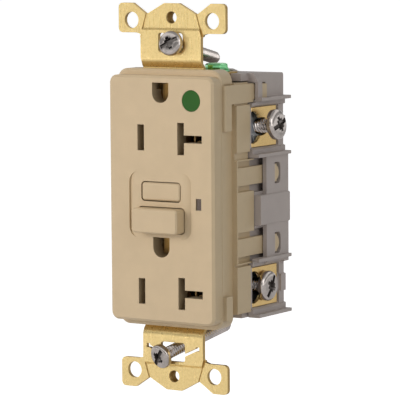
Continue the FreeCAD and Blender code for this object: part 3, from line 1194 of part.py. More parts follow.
def solenoid_winding():
    low = SOLENOID_BOTTOM + BOBBIN_END_T + SEAT_GAP
    high = SOLENOID_TOP - BOBBIN_END_T - SEAT_GAP
    inner = BOBBIN_TUBE_HALF + SHAFT_GAP
    coil = box(-WINDING_HALF, WINDING_HALF, SOLENOID_Y - WINDING_HALF, SOLENOID_Y + WINDING_HALF, low, high)
    coil = coil.makeChamfer(WINDING_EDGE, edges_along(coil, V(0, 0, 1), lambda p: True))
    return cut(coil, box(-inner, inner, SOLENOID_Y - inner, SOLENOID_Y + inner, low - 1, high + 1))


def solenoid_frame():
    """Steel bracket around the winding that closes the magnetic path."""
    inside = BOBBIN_FLANGE_HALF + SEAT_GAP
    outside = inside + BRACKET_T
    front = SOLENOID_Y - BRACKET_FRONT
    rear = SOLENOID_Y + BRACKET_REAR
    high = SOLENOID_TOP + SEAT_GAP
    low = SOLENOID_BOTTOM - SEAT_GAP
    side = box(inside, outside, front, rear, low - BRACKET_T, high + BRACKET_T)
    top = box(-BOBBIN_FLANGE_HALF, outside, front, rear, high, high + BRACKET_T)
    bottom = box(-BOBBIN_FLANGE_HALF, outside, front, rear, low - BRACKET_T, low)
    hole = turned_bar(PLUNGER_R + FIT, V(0, SOLENOID_Y, SOLENOID_TOP - 1), V(0, 0, 1), BRACKET_T + 3)
    return cut(fuse(side, top, bottom), hole)


def solenoid_plunger():
    top = LIFTER_BOTTOM - PLUNGER_GAP
    return turned_bar(PLUNGER_R, V(0, SOLENOID_Y, top - PLUNGER_LENGTH), V(0, 0, 1), PLUNGER_LENGTH)


def latch_spring():
    """Bent leaf on the carrier that returns the latch plate; it lies just above the plate's upper edge."""
    low = LIFTER_TOP + LATCH_HEAD + TRIP_TRAVEL + FIT
    foot = box(LATCH_LEAF_X, LATCH_HALF, RIM_Y, RIM_Y + LATCH_LEAF_T, low, low + LATCH_LEAF_FOOT)
    leaf = box(LATCH_LEAF_X, LATCH_HALF, RIM_Y, LATCH_Y + LATCH_T, low, low + LATCH_LEAF_T)
    return fuse(foot, leaf)


# ---------------------------------------------------------------- board components
def surge_varistor():
    x = VARISTOR_R + BOARD_GAP - BOARD_HALF
    rear = BOARD_FRONT - VARISTOR_LIFT
    disc = turned_bar(VARISTOR_R, V(x, rear - VARISTOR_T, PARTS_Z), V(0, 1, 0), VARISTOR_T)
    leads = [square_bar(LEAD_HALF, x + dx, PARTS_Z, rear - JOINED, BOARD_FRONT)
             for dx in (-VARISTOR_LEAD_X, VARISTOR_LEAD_X)]
    return fuse(disc, *leads)


def control_chip():
    left = CHIP_LEG_REACH + FIT - BOARD_HALF
    body = box(left, left + CHIP_WIDTH, BOARD_FRONT - CHIP_FRONT, BOARD_FRONT - CHIP_LIFT,
               CHIP_LOW, CHIP_LOW + CHIP_HEIGHT)
    legs = []
    for k in range(CHIP_LEGS):
        z = CHIP_LOW + CHIP_HEIGHT / 2 + CHIP_LEG_PITCH * (k - (CHIP_LEGS - 1) / 2)
        legs.append(box(left - CHIP_LEG_REACH, left + CHIP_WIDTH + CHIP_LEG_REACH, BOARD_FRONT - 2 * CHIP_LIFT,
                        BOARD_FRONT, *around(z, LEAD_HALF)))
    return fuse(body, *legs)


def trip_thyristor():
    x = THYRISTOR_R - BOARD_HALF
    front = BOARD_FRONT - THYRISTOR_FRONT
    can = turned_bar(THYRISTOR_R, V(x, front, THYRISTOR_Z), V(0, 1, 0), THYRISTOR_HEIGHT)
    can = cut(can, box(x - THYRISTOR_R - 1, x + THYRISTOR_R + 1, front - 1, BOARD_FRONT,
                       THYRISTOR_Z - THYRISTOR_R - 1, THYRISTOR_Z - THYRISTOR_FLAT))
    legs = [square_bar(LEAD_HALF, x + dx, THYRISTOR_Z, front + THYRISTOR_HEIGHT - JOINED, BOARD_FRONT)
            for dx in (-THYRISTOR_LEG_PITCH, 0, THYRISTOR_LEG_PITCH)]
    return fuse(can, *legs)


def filter_capacitors():
    x = BOARD_HALF - CAPACITOR_R
    front = BOARD_FRONT - CAPACITOR_HEIGHT
    return Part.makeCompound([turned_bar(CAPACITOR_R, V(x, front, z), V(0, 1, 0), CAPACITOR_HEIGHT)
                              for z in (PARTS_Z, PARTS_Z + CAPACITOR_PITCH)])


def board_resistors():
    right = BOARD_HALF - 2 * FIT
    chips = []
    for k in range(3):
        z = RESISTOR_LOW + k * RESISTOR_PITCH
        chips.append(box(right - RESISTOR_WIDTH, right, BOARD_FRONT - RESISTOR_T, BOARD_FRONT,
                         z - RESISTOR_HEIGHT / 2, z + RESISTOR_HEIGHT / 2))
    return Part.makeCompound(chips)


# ---------------------------------------------------------------- saving
def terminals():
    """Saves plate, clamp and screw of all four terminals."""
    for pole, side in (("neutral", 1), ("hot", -1)):
        for use, z in (("load", TERMINALS_Z[0]), ("line", TERMINALS_Z[1])):
            name = pole + "_" + use
            lift, tilt, space = LOOSE.get(name, (0, 0, CLAMP_OPEN))
            pieces = {"terminal_plate_": terminal_plate(z), "terminal_clamp_": terminal_clamp(z, space, tilt),
                      "terminal_screw_": terminal_screw(z, lift, tilt)}
            for kind, shape in pieces.items():
                save(kind + name, shape if side > 0 else mirrored(shape))


save("front_cover", front_cover())
save("back_body", back_body())
save("mounting_strap", mounting_strap())
save("ground_contact_upper", ground_contact(OUTLETS_Z[0] + GROUND_RISE))
save("ground_contact_lower", ground_contact(OUTLETS_Z[1] + GROUND_RISE))
save("test_button", test_button())
save("reset_button", reset_button())
save("reset_stem", reset_stem())
save("reset_spring", reset_spring())
save("test_spring", test_spring())
save("test_contact_pin", test_contact_pin())
save("indicator_lens", indicator_lens())
save("indicator_lamp", indicator_lamp())
save("grade_dot", grade_dot())
terminals()
save("ground_screw", ground_screw())
save("box_screw_upper", box_screw(V(UPPER_SCREW_X, 0, BOX_SCREW_SPACING / 2 - UPPER_SCREW_DROP),
                                  UPPER_SCREW_DROOP, UPPER_SCREW_YAW, UPPER_SCREW_STAND))
save("box_screw_lower", box_screw(V(LOWER_SCREW_X, 0, -BOX_SCREW_SPACING / 2 - LOWER_SCREW_DROP),
                                  LOWER_SCREW_DROOP, LOWER_SCREW_YAW, LOWER_SCREW_STAND))
save("contact_carrier", contact_carrier())
save("hot_contact_strip", contact_strip(-1))
save("neutral_contact_strip", contact_strip(1))
save("circuit_board", circuit_board())
save("coil_holder", coil_holder())
save("sensor_coil_rear", sensor_coil(BOARD_FRONT - CUP_WALL - FIT - COIL_H))
save("sensor_coil_front", sensor_coil(BOARD_FRONT - CUP_WALL - 2 * FIT - 2 * COIL_H))
save("hot_busbar", busbar(-1))
save("neutral_busbar", busbar(1))
save("hot_contact_arm", contact_arm(-1))
save("neutral_contact_arm", contact_arm(1))
save("lifter_block", lifter_block())
save("latch_plate", latch_plate())
save("solenoid_bobbin", solenoid_bobbin())
save("solenoid_winding", solenoid_winding())
save("solenoid_frame", solenoid_frame())
save("solenoid_plunger", solenoid_plunger())
save("latch_spring", latch_spring())
save("surge_varistor", surge_varistor())
save("control_chip", control_chip())
save("trip_thyristor", trip_thyristor())
save("filter_capacitors", filter_capacitors())
save("board_resistors", board_resistors())
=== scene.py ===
"""Looks of a ground-fault outlet: mouldings, stamped strap, threaded screws, stage and camera."""
import json
import math

import bmesh
import bpy
from bpy.props import FloatProperty, FloatVectorProperty, IntProperty, PointerProperty
from mathutils import Matrix, Vector


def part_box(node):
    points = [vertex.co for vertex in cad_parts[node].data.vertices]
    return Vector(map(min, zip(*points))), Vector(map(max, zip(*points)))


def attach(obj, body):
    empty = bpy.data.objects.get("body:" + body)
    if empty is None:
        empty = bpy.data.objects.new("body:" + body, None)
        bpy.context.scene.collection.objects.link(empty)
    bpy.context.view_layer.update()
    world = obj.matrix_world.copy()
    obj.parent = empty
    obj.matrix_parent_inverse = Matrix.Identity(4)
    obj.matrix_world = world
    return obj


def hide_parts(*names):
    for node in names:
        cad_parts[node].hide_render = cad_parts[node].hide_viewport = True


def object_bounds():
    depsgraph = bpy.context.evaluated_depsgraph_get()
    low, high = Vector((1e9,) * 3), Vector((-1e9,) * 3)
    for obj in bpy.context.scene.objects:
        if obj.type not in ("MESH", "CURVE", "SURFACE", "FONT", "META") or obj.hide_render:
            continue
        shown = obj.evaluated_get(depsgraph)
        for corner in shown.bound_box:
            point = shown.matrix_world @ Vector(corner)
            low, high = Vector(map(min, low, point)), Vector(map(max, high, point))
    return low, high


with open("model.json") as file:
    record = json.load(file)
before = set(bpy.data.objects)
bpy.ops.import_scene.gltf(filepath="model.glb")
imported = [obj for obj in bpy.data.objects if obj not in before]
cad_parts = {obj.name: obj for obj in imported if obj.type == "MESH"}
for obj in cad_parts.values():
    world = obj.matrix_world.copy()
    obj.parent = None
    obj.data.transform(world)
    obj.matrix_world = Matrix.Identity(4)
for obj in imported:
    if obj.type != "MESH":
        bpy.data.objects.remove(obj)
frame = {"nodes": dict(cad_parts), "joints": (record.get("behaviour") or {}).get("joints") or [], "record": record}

bl_info = {
    "name": "Ground-fault outlet looks",
    "version": (1, 0, 0),
    "blender": (4, 5, 0),
    "location": "View3D > Sidebar > Outlet",
    "description": "Builds the visible finish of a duplex ground-fault outlet around its engineering frame",
    "category": "Object",
}

CAD_BOX = [list(corner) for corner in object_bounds()]
MM = 0.001
BODY_OF = {node: body for body, nodes in frame["record"]["behaviour"]["bodies"].items() for node in nodes}
SLOT_OF = {part["node"]: part["material_slot"] for part in frame["record"]["subparts"]}
JOINT_OF = {joint["child"]: joint for joint in frame["joints"]}


# ------------------------------------------------------------------ fixed sizes
MERGE = 1e-6                # points nearer than this are one
FLAT_ANGLE = 0.6            # degrees between faces that count as one flat
ROUND_STEPS = 2             # faces across a rounded edge, and the least angle in degrees that is rounded
ROUND_ANGLE = 28
BEND_STEPS = 4
HOOK_HALF = 2.3 * MM        # side hook's face: half height, bow in the middle, lean and depth in the skirt
HOOK_BOW = 2.1 * MM
HOOK_LEAN = 0.1
HOOK_SINK = 0.15 * MM
HOOK_STEPS = 10
CORNER_FRONT = 15.6 * MM    # hooks at the upper corners
CORNER_REAR = 18.3 * MM
CORNER_SINK = 0.4 * MM
PAD_THICKNESS = 1.4 * MM
ENTRY_HALF = 1.9 * MM       # floors of the wire entries
ENTRY_FRONT = 25.6 * MM
ENTRY_MARGIN = 0.3 * MM
OPENING_SLANT = 0.7         # faces that look less to the front or back than this are walls of openings, which get painted shade
SHEARED_SLANT = 0.2         # and these are the strap's cut edges
BEND_HEIGHT = 36.5 * MM     # where the strap bends into the body
BEND_MARGIN = 0.5 * MM
BEND_RUN = 6 * MM           # shortest edge that counts as a bend
TAPPED_START = 0.12 * MM    # threads of the wall-plate screw holes
TAPPED_CREST = 0.22 * MM
TAPPED_OUTER = 1.03         # outside of the threaded sleeve, in radii of the hole
TAPPED_ROWS = 26
TAPPED_STEPS = 48
LEAF_HALF = 2.35 * MM       # flared leaves of the ground clips: half height, sheet, gap, spread
LEAF_SHEET = 0.35 * MM
LEAF_GAP = 0.6 * MM
LEAF_SPREAD = 2.25 * MM
LEAF_ROOT = 1.2 * MM        # and their root, bend and tip, from the clip's front
LEAF_BEND = -0.2 * MM
LEAF_TIP = -2.8 * MM
TERMINAL_HEAD = 2.3 * MM    # screws: height of head, radius of shank
TERMINAL_SHANK = 1.95 * MM
BOX_HEAD = 2.1 * MM
BOX_SHANK = 1.75 * MM
GROUND_SHANK = 1.9 * MM
SHANK_STEPS = 48
SHANK_OVERLAP = 0.02 * MM   # how far a shank reaches into its head
RECESS_HEIGHTS = 0.05, 0.84  # part of the head that holds the recess and its painted shade, in heights and radii of the head
RECESS_REACH = 0.82
FLOOR_SIZE = 6.0            # half the floor's width
LAMP_AIM = (0, 0.01, 0)
CAMERA_PLACE = (0.4143, -0.6355, 0.0762)
CAMERA_TURN = 32.55, 5.78, -0.40  # degrees about the part, above it, and of roll


# ------------------------------------------------------------------ settings
def colour_prop(name, description, default):
    return FloatVectorProperty(name=name, description=description, default=default, size=3, min=0, max=1,
                               subtype="COLOR")


def length_prop(name, description, default):
    return FloatProperty(name=name, description=description, default=default, min=0, subtype="DISTANCE",
                         unit="LENGTH")


def share_prop(name, description, default, most=1):
    return FloatProperty(name=name, description=description, default=default, min=0, max=most)


def power_prop(name, description, default):
    return FloatProperty(name=name, description=description, default=default, min=0, unit="POWER")


class OutletFinishes(bpy.types.PropertyGroup):
    """Colours and roundings of the mouldings and metals."""
    ivory: colour_prop("Ivory", "Moulded colour of cover and buttons", (0.588, 0.460, 0.284))
    grey: colour_prop("Warm grey", "Moulded colour of the back body", (0.46, 0.405, 0.375))
    brass: colour_prop("Strap", "Reflected colour of the mounting strap", (0.93, 0.71, 0.32))
    sheared: colour_prop("Sheared edge", "Reflected colour of the strap's cut edges", (0.50, 0.34, 0.13))
    plate: colour_prop("Terminal brass", "Reflected colour of the terminal plates", (0.83, 0.58, 0.24))
    nickel: colour_prop("Nickel", "Reflected colour of the plated screws", (0.52, 0.47, 0.44))
    # Painted shade in the driver recesses: share of the metal's colour kept there.
    recess_shade: share_prop("Recess tone", "Share of the metal's colour left in a driver recess", 0.4)
    ground_green: colour_prop("Ground green", "Dye of the ground screw", (0.22, 0.60, 0.28))
    window: colour_prop("Window", "Moulded colour of the indicator window", (0.095, 0.068, 0.050))
    dot_green: colour_prop("Dot green", "Colour of the dot by the upper outlet", (0.016, 0.090, 0.006))
    hook_middle: FloatProperty(name="Hook middle", description="Height midway between the side hooks",
                               default=-3.65 * MM, subtype="DISTANCE", unit="LENGTH")
    hook_spread: length_prop("Hook spread", "From that height to each side hook", 9.55 * MM)
    hook_front: length_prop("Hook front", "Front edge of the side hooks", 21.5 * MM)
    wire_offset: length_prop("Wire offset", "From a terminal's middle to its two wire entries", 4.0 * MM)
    wire_floor: length_prop("Wire floor", "From the middle to the floor of the wire entries", 17.75 * MM)
    corner_low: length_prop("Corner hook low", "Lower edge of the hooks at the upper corners", 26.4 * MM)
    corner_high: length_prop("Corner hook high", "Upper edge of the hooks at the upper corners", 30.3 * MM)
    # Painted shade on the walls of the cover's openings: share of the ivory kept there, and the area it covers.
    shade: share_prop("Opening tone", "Share of the ivory left on the walls of the openings", 0.64)
    shade_start: length_prop("Shade start", "Least depth of a shaded wall's middle", 1.0 * MM)
    shade_half_width: length_prop("Shade half width", "Half the width of the area with openings", 14.5 * MM)
    shade_half_height: length_prop("Shade half height", "Half the height of that area", 31 * MM)
    cover_round: length_prop("Cover rounding", "Edge rounding of the ivory mouldings", 0.36 * MM)
    body_round: length_prop("Body rounding", "Edge rounding of the grey moulding", 0.16 * MM)
    metal_round: length_prop("Metal rounding", "Edge rounding of the stamped metal", 0.08 * MM)
    bend_round: length_prop("Bend rounding", "Rounding where the strap is bent", 1.3 * MM)
    tapped_spacing: length_prop("Tapped spacing", "Between the two wall-plate screw holes", 96.84 * MM)
    tapped_radius: length_prop("Tapped radius", "Radius of the wall-plate screw holes", 1.65 * MM)
    tapped_depth: length_prop("Tapped depth", "Depth of the wall-plate screw holes", 3.0 * MM)
    tapped_pitch: length_prop("Tapped pitch", "Thread pitch of the wall-plate screw holes", 0.794 * MM)


class OutletScrews(bpy.types.PropertyGroup):
    """Sizes of the screws' heads and threads."""
    pitch: length_prop("Thread pitch", "Distance from one thread to the next", 0.794 * MM)
    thread_depth: length_prop("Thread depth", "Radial depth of the threads", 0.36 * MM)
    slot_width: length_prop("Slot width", "Width of the driver slot", 1.15 * MM)
    slot_depth: length_prop("Slot depth", "Depth of the driver slot", 1.15 * MM)
    hex_height: length_prop("Hex height", "Height of the ground screw's head", 2.2 * MM)
    segments: IntProperty(name="Segments", description="Steps around each screw head", default=72, min=16,
                          max=256)


class OutletStage(bpy.types.PropertyGroup):
    """Floor, light and camera."""
    floor_drop: length_prop("Floor drop", "Floor below the strap's lower end", 30 * MM)
    key_power: power_prop("Key power", "Power of the large front lamp", 6.5)
    fill_power: power_prop("Fill power", "Power of the side lamp", 1.25)
    ambient: share_prop("Ambient", "Strength of the sky for matt surfaces", 0.34, 2)
    floor_white: share_prop("Floor white", "Glow of the floor as the camera sees it", 0.75, 2)
    floor_gloss: share_prop("Floor gloss", "Glow of the floor as metal shows it", 0.22, 2)
    focal: FloatProperty(name="Focal length", description="Lens in millimetres on a 36 mm frame",
                         default=255.6, min=10, unit="CAMERA")


# ------------------------------------------------------------------ node materials
def set_stops(ramp, stops):
    """Gives a colour ramp its (position, colour) stops."""
    while len(ramp.elements) < len(stops):
        ramp.elements.new(0.5)
    for element, (position, colour) in zip(ramp.elements, stops):
        element.position = position
        element.color = (*colour, 1)


def math_node(nodes, links, operation, *values):
    """A math node fed with outputs or numbers."""
    node = nodes.new("ShaderNodeMath")
    node.operation = operation
    for socket, value in zip(node.inputs, values):
        if isinstance(value, (int, float)):
            socket.default_value = value
        else:
            links.new(value, socket)
    return node.outputs["Value"]


class Finish:
    """A material with short calls for adding and joining its nodes."""

    def __init__(self, name):
        self.material = bpy.data.materials.new(name)
        self.material.use_nodes = True
        self.nodes = self.material.node_tree.nodes
        self.links = self.material.node_tree.links
        self.shader = self.nodes["Principled BSDF"]
        self.place = self.nodes.new("ShaderNodeTexCoord").outputs["Object"]

    def set(self, **values):
        for socket, value in values.items():
            self.shader.inputs[socket.replace("_", " ")].default_value = value
        return self

    def noise(self, scale, detail=3.0, rough=0.5, stretch=None):
        node = self.nodes.new("ShaderNodeTexNoise")
        node.inputs["Scale"].default_value = scale
        node.inputs["Detail"].default_value = detail
        node.inputs["Roughness"].default_value = rough
        place = self.place
        if stretch:
            mapping = self.nodes.new("ShaderNodeMapping")
            mapping.inputs["Scale"].default_value = stretch
            self.links.new(place, mapping.inputs["Vector"])
            place = mapping.outputs["Vector"]
        self.links.new(place, node.inputs["Vector"])
        return node.outputs["Fac"]

    def ramp(self, value, stops):
        node = self.nodes.new("ShaderNodeValToRGB")
        set_stops(node.color_ramp, stops)
        self.links.new(value, node.inputs["Fac"])
        return node.outputs["Color"]

    def spread(self, value, low, high):
        node = self.nodes.new("ShaderNodeMapRange")
        node.inputs["To Min"].default_value = low
        node.inputs["To Max"].default_value = high
        self.links.new(value, node.inputs["Value"])
        return node.outputs["Result"]

    def bump(self, value, strength, distance, over=None):
        node = self.nodes.new("ShaderNodeBump")
        node.inputs["Strength"].default_value = strength
        node.inputs["Distance"].default_value = distance
        self.links.new(value, node.inputs["Height"])
        if over:
            self.links.new(over, node.inputs["Normal"])
        return node.outputs["Normal"]

    def join(self, output, socket):
        self.links.new(output, self.shader.inputs[socket])
        return self


def tones(colour, share):
    """A colour a little darker and a little lighter."""
    return tuple(c * (1 - share) for c in colour), tuple(min(1, c * (1 + share)) for c in colour)


def moulded(name, colour, roughness=0.42, share=0.035, grain=0.12):
    """Injection-moulded plastic: faint mottling, fine spark texture, uneven gloss."""
    finish = Finish(name)
    dark, light = tones(colour, share)
    finish.join(finish.ramp(finish.noise(160, 4, 0.6), [(0.3, dark), (0.7, light)]), "Base Color")
    finish.join(finish.spread(finish.noise(900, 3), roughness - 0.06, roughness + 0.08), "Roughness")
    finish.join(finish.bump(finish.noise(5200, 2, 0.55), grain, 0.00004), "Normal")
    return finish.set(IOR=1.5).material


def plated(name, colour, roughness=0.28, share=0.06, stretch=(1, 1, 1), stain=None, ripple=0.15, fleck=420):
    """Stamped or plated metal: rolling lines, faint stains, worn gloss and slightly uneven flats."""
    finish = Finish(name)
    dark, light = tones(colour, share)
    stops = [(0.32, stain or dark), (0.52, colour), (0.72, light)]
    finish.join(finish.ramp(finish.noise(fleck, 7, 0.68), stops), "Base Color")
    lines = finish.noise(1500, 3, 0.6, stretch)
    finish.join(finish.spread(lines, roughness - 0.08, roughness + 0.12), "Roughness")
    waves = finish.bump(finish.noise(260, 2, 0.5), ripple, 0.0002)
    finish.join(finish.bump(lines, 0.12, 0.00003, waves), "Normal")
    return finish.set(Metallic=1.0).material


def smoked_window(name, colour):
    """Smoked moulded window in front of the indicator lamp."""
    finish = Finish(name)
    dark, light = tones(colour, 0.15)
    finish.join(finish.ramp(finish.noise(700, 2), [(0.3, dark), (0.7, light)]), "Base Color")
    finish.join(finish.spread(finish.noise(900, 2), 0.2, 0.32), "Roughness")
    return finish.set(IOR=1.49).material


def woven_wire(name, colour, turns):
    """Enamelled winding wire, laid turn by turn."""
    finish = Finish(name)
    wave = finish.nodes.new("ShaderNodeTexWave")
    wave.bands_direction = "Z"
    wave.inputs["Scale"].default_value = turns
    finish.links.new(finish.place, wave.inputs["Vector"])
    dark, light = tones(colour, 0.3)
    finish.join(finish.ramp(wave.outputs["Fac"], [(0.1, dark), (0.9, light)]), "Base Color")
    finish.join(finish.bump(wave.outputs["Fac"], 0.6, 0.0001), "Normal")
    return finish.set(Metallic=0.7, Roughness=0.35).material


# ------------------------------------------------------------------ mesh helpers
def new_piece(name, mesh, node, material):
    """Links a mesh as a piece that stands for a node and rides on that node's body."""
    piece = bpy.data.objects.new(name, mesh)
    bpy.context.scene.collection.objects.link(piece)
    mesh.materials.clear()
    mesh.materials.append(material)
    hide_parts(node)
    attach(piece, BODY_OF[node])
    return piece


def repaint(node, material):
    """Gives a node's own solid a finish."""
    thing = frame["nodes"][node]
    for slot in thing.material_slots:
        slot.material = material
    if not thing.material_slots:
        thing.data.materials.append(material)


def evaluated_mesh(piece):
    """The piece's mesh with its modifiers applied."""
    bpy.context.view_layer.update()
    graph = bpy.context.evaluated_depsgraph_get()
    return bpy.data.meshes.new_from_object(piece.evaluated_get(graph), depsgraph=graph)


def rounded_copy(node, name, width, material, bends=None, bend_round=0.0):
    """A copy of a node's solid with its edges rounded; edges along the bend lines get a wider rounding."""
    mesh = frame["nodes"][node].data.copy()
    work = bmesh.new()
    work.from_mesh(mesh)
    bmesh.ops.remove_doubles(work, verts=work.verts, dist=MERGE)
    bmesh.ops.dissolve_limit(work, angle_limit=math.radians(FLAT_ANGLE), verts=work.verts, edges=work.edges,
                             use_dissolve_boundaries=False)
    if bends:
        marked = work.edges.layers.float.new("bevel_weight_edge")
        for edge in work.edges:
            start, end = edge.verts[0].co, edge.verts[1].co
            if bends(start, end):
                edge[marked] = 1.0
    work.to_mesh(mesh)
    work.free()
    draft = bpy.data.objects.new(name + "_draft", mesh)
    bpy.context.scene.collection.objects.link(draft)
    if bends:
        bend = draft.modifiers.new("bends", "BEVEL")
        bend.width = bend_round
        bend.segments = BEND_STEPS
        bend.limit_method = "WEIGHT"
    bevel = draft.modifiers.new("rounding", "BEVEL")
    bevel.width = width
    bevel.segments = ROUND_STEPS
    bevel.limit_method = "ANGLE"
    bevel.angle_limit = math.radians(ROUND_ANGLE)
    bevel.use_clamp_overlap = True
    for face in mesh.polygons:
        face.use_smooth = True
    weighted = draft.modifiers.new("flat_faces", "WEIGHTED_NORMAL")
    weighted.mode = "FACE_AREA"
    weighted.weight = 100
    result = evaluated_mesh(draft)
    bpy.data.objects.remove(draft)
    return new_piece(name, result, node, material)


def smooth_by_angle(mesh, degrees):
    """Smooth faces with sharp edges above an angle."""
    work = bmesh.new()
    work.from_mesh(mesh)
    limit = math.radians(degrees)
    for face in work.faces:
        face.smooth = True
    for edge in work.edges:
        edge.smooth = len(edge.link_faces) == 2 and edge.calc_face_angle(0) < limit
    work.to_mesh(mesh)
    work.free()


def turned(profile, segments):
    """A closed turned body from (radius, height) points that start and end on the axis."""
    work = bmesh.new()
    rings = []
    for radius, height in profile:
        if radius < MERGE:
            rings.append([work.verts.new((0, 0, height))])
        else:
            rings.append([work.verts.new((radius * math.cos(2 * math.pi * k / segments),
                                          radius * math.sin(2 * math.pi * k / segments), height))
                          for k in range(segments)])
    for low, high in zip(rings, rings[1:]):
        for k in range(segments):
            n = (k + 1) % segments
            if len(low) == 1:
                work.faces.new((low[0], high[n], high[k]))
            elif len(high) == 1:
                work.faces.new((low[k], low[n], high[0]))
            else:
                work.faces.new((low[k], low[n], high[n], high[k]))
    return work


def threaded_shank(work, radius, low, high, pitch, depth, segments):
    """Adds a threaded rod from one height to another, with a blunt end at the lower one."""
    rows_per_turn, tapered_turns, crest_width = 8, 1.2, 1.25
    count = int((high - low) / pitch * rows_per_turn)
    rings = []
    for row in range(count + 1):
        height = low + (high - low) * row / count
        taper = min(1.0, (height - low) / (pitch * tapered_turns))
        ring = []
        for k in range(segments):
            phase = (height / pitch - k / segments) % 1.0
            crest = 1 - abs(2 * phase - 1)
            r = radius - depth * (1 - min(1.0, crest * crest_width)) - depth * (1 - taper)
            angle = 2 * math.pi * k / segments
            ring.append(work.verts.new((r * math.cos(angle), r * math.sin(angle), height)))
        rings.append(ring)
    for lower, upper in zip(rings, rings[1:]):
        for k in range(segments):
            n = (k + 1) % segments
            work.faces.new((lower[k], lower[n], upper[n], upper[k]))
    work.faces.new(list(reversed(rings[0])))
    work.faces.new(rings[-1])


def cutter_block(size, centre, taper=1.0):
    """A block for cutting recesses; taper narrows its lower end."""
    work = bmesh.new()
    bmesh.ops.create_cube(work, size=1.0)
    for vert in work.verts:
        share = taper if vert.co.z < 0 else 1.0
        vert.co = Vector((vert.co.x * size[0] * share, vert.co.y * size[1] * share, vert.co.z * size[2]))
    bmesh.ops.translate(work, vec=centre, verts=work.verts)
    return work


def to_mesh(work, name):
    """A mesh block from a working mesh, with its faces looking outwards."""
    mesh = bpy.data.meshes.new(name)
    bmesh.ops.recalc_face_normals(work, faces=work.faces)
    work.to_mesh(mesh)
    work.free()
    return mesh


def carve(mesh, cutters, rounding):
    """Cuts shapes out of a mesh and rounds the sharp edges that are left."""
    body = bpy.data.objects.new("carved", mesh)
    bpy.context.scene.collection.objects.link(body)
    tools = []
    for number, work in enumerate(cutters):
        tool = bpy.data.objects.new("cutter", to_mesh(work, "cutter"))
        bpy.context.scene.collection.objects.link(tool)
        modifier = body.modifiers.new("cut%d" % number, "BOOLEAN")
        modifier.object = tool
        modifier.operation = "DIFFERENCE"
        modifier.solver = "MANIFOLD"
        tools.append(tool)
    bevel = body.modifiers.new("rounding", "BEVEL")
    bevel.width = rounding
    bevel.segments = 2
    bevel.limit_method = "ANGLE"
    bevel.angle_limit = math.radians(35)
    result = evaluated_mesh(body)
    for thing in tools + [body]:
        bpy.data.objects.remove(thing)
    return result


def axis_reach(node, point, axis):
    """Lowest and highest place of a node's solid along an axis, and its greatest distance from it."""
    places = []
    for vert in frame["nodes"][node].data.vertices:
        offset = vert.co - point
        along = offset.dot(axis)
        places.append((along, (offset - axis * along).length))
    return min(p[0] for p in places), max(p[0] for p in places), max(p[1] for p in places)


def place_on_axis(mesh, base, axis, twist):
    """Stands a mesh made along +Z on a base point, along an axis."""
    turn = axis.to_track_quat("Z", "Y").to_matrix().to_4x4()
    mesh.transform(Matrix.Translation(base) @ turn @ Matrix.Rotation(twist, 4, "Z"))


def screw_frame(node):
    """A point on the screw's axis, the axis, and the solid's reach along and across it."""
    joint = JOINT_OF[BODY_OF[node]]
    axis = Vector(joint["axis"]).normalized()
    point = Vector(joint["pos_m"])
    low, high, radius = axis_reach(node, point, axis)
    return point, axis, low, high, radius


def pan_profile(head_r, head_h):
    """Outline of a pan head: broken lower edge, straight rim, rounded shoulder, nearly flat crown."""
    rim, rise, inner, outer, steps = 0.5, 0.42, 0.62, 0.38, 8
    profile = [(0, 0), (head_r * 0.95, 0), (head_r, head_h * 0.09), (head_r, head_h * rim)]
    for step in range(1, steps + 1):
        angle = math.pi / 2 * step / steps
        radius, height = inner + outer * math.cos(angle), rim + rise * math.sin(angle)
        profile.append((head_r * radius, head_h * height))
    return profile + [(head_r * 0.3, head_h), (0, head_h)]


def machine_screw(node, name, head_h, shank_r, material, recess_shade, settings, twist):
    """A pan-head machine screw with a rolled thread and a combination recess, whose faces take a darker copy of
    the metal as painted shade.
    """
    point, axis, low, high, head_r = screw_frame(node)
    if head_side_is_low(node, point, axis, head_r):
        axis, low, high = -axis, -high, -low
    base = high - head_h
    head = to_mesh(turned(pan_profile(head_r, head_h), settings.segments), name)
    width, depth, top = settings.slot_width, settings.slot_depth, Vector((0, 0, head_h))
    long_arm = cutter_block((head_r * 1.62, width, depth * 2), top)
    short_arm = cutter_block((width, head_r * 1.15, depth * 2.3), top, 0.8)
    square = cutter_block((head_r * 0.72, head_r * 0.72, head_h * 1.3), top, 0.8)
    head = carve(head, [long_arm, short_arm, square], head_r * 0.022)
    work = bmesh.new()
    work.from_mesh(head)
    threaded_shank(work, shank_r, low - base, SHANK_OVERLAP, settings.pitch, settings.thread_depth,
                   SHANK_STEPS)
    mesh = to_mesh(work, name)
    # Faces inside the recess take the darker metal: painted shade.
    floor, rim = (share * head_h for share in RECESS_HEIGHTS)
    recessed = [face.index for face in mesh.polygons
                if floor < face.center.z < rim and face.center.xy.length < RECESS_REACH * head_r]
    smooth_by_angle(mesh, 38)
    place_on_axis(mesh, point + axis * base, axis, twist)
    piece = new_piece(name, mesh, node, material)
    mesh.materials.append(recess_shade)
    for index in recessed:
        mesh.polygons[index].material_index = 1
    return piece


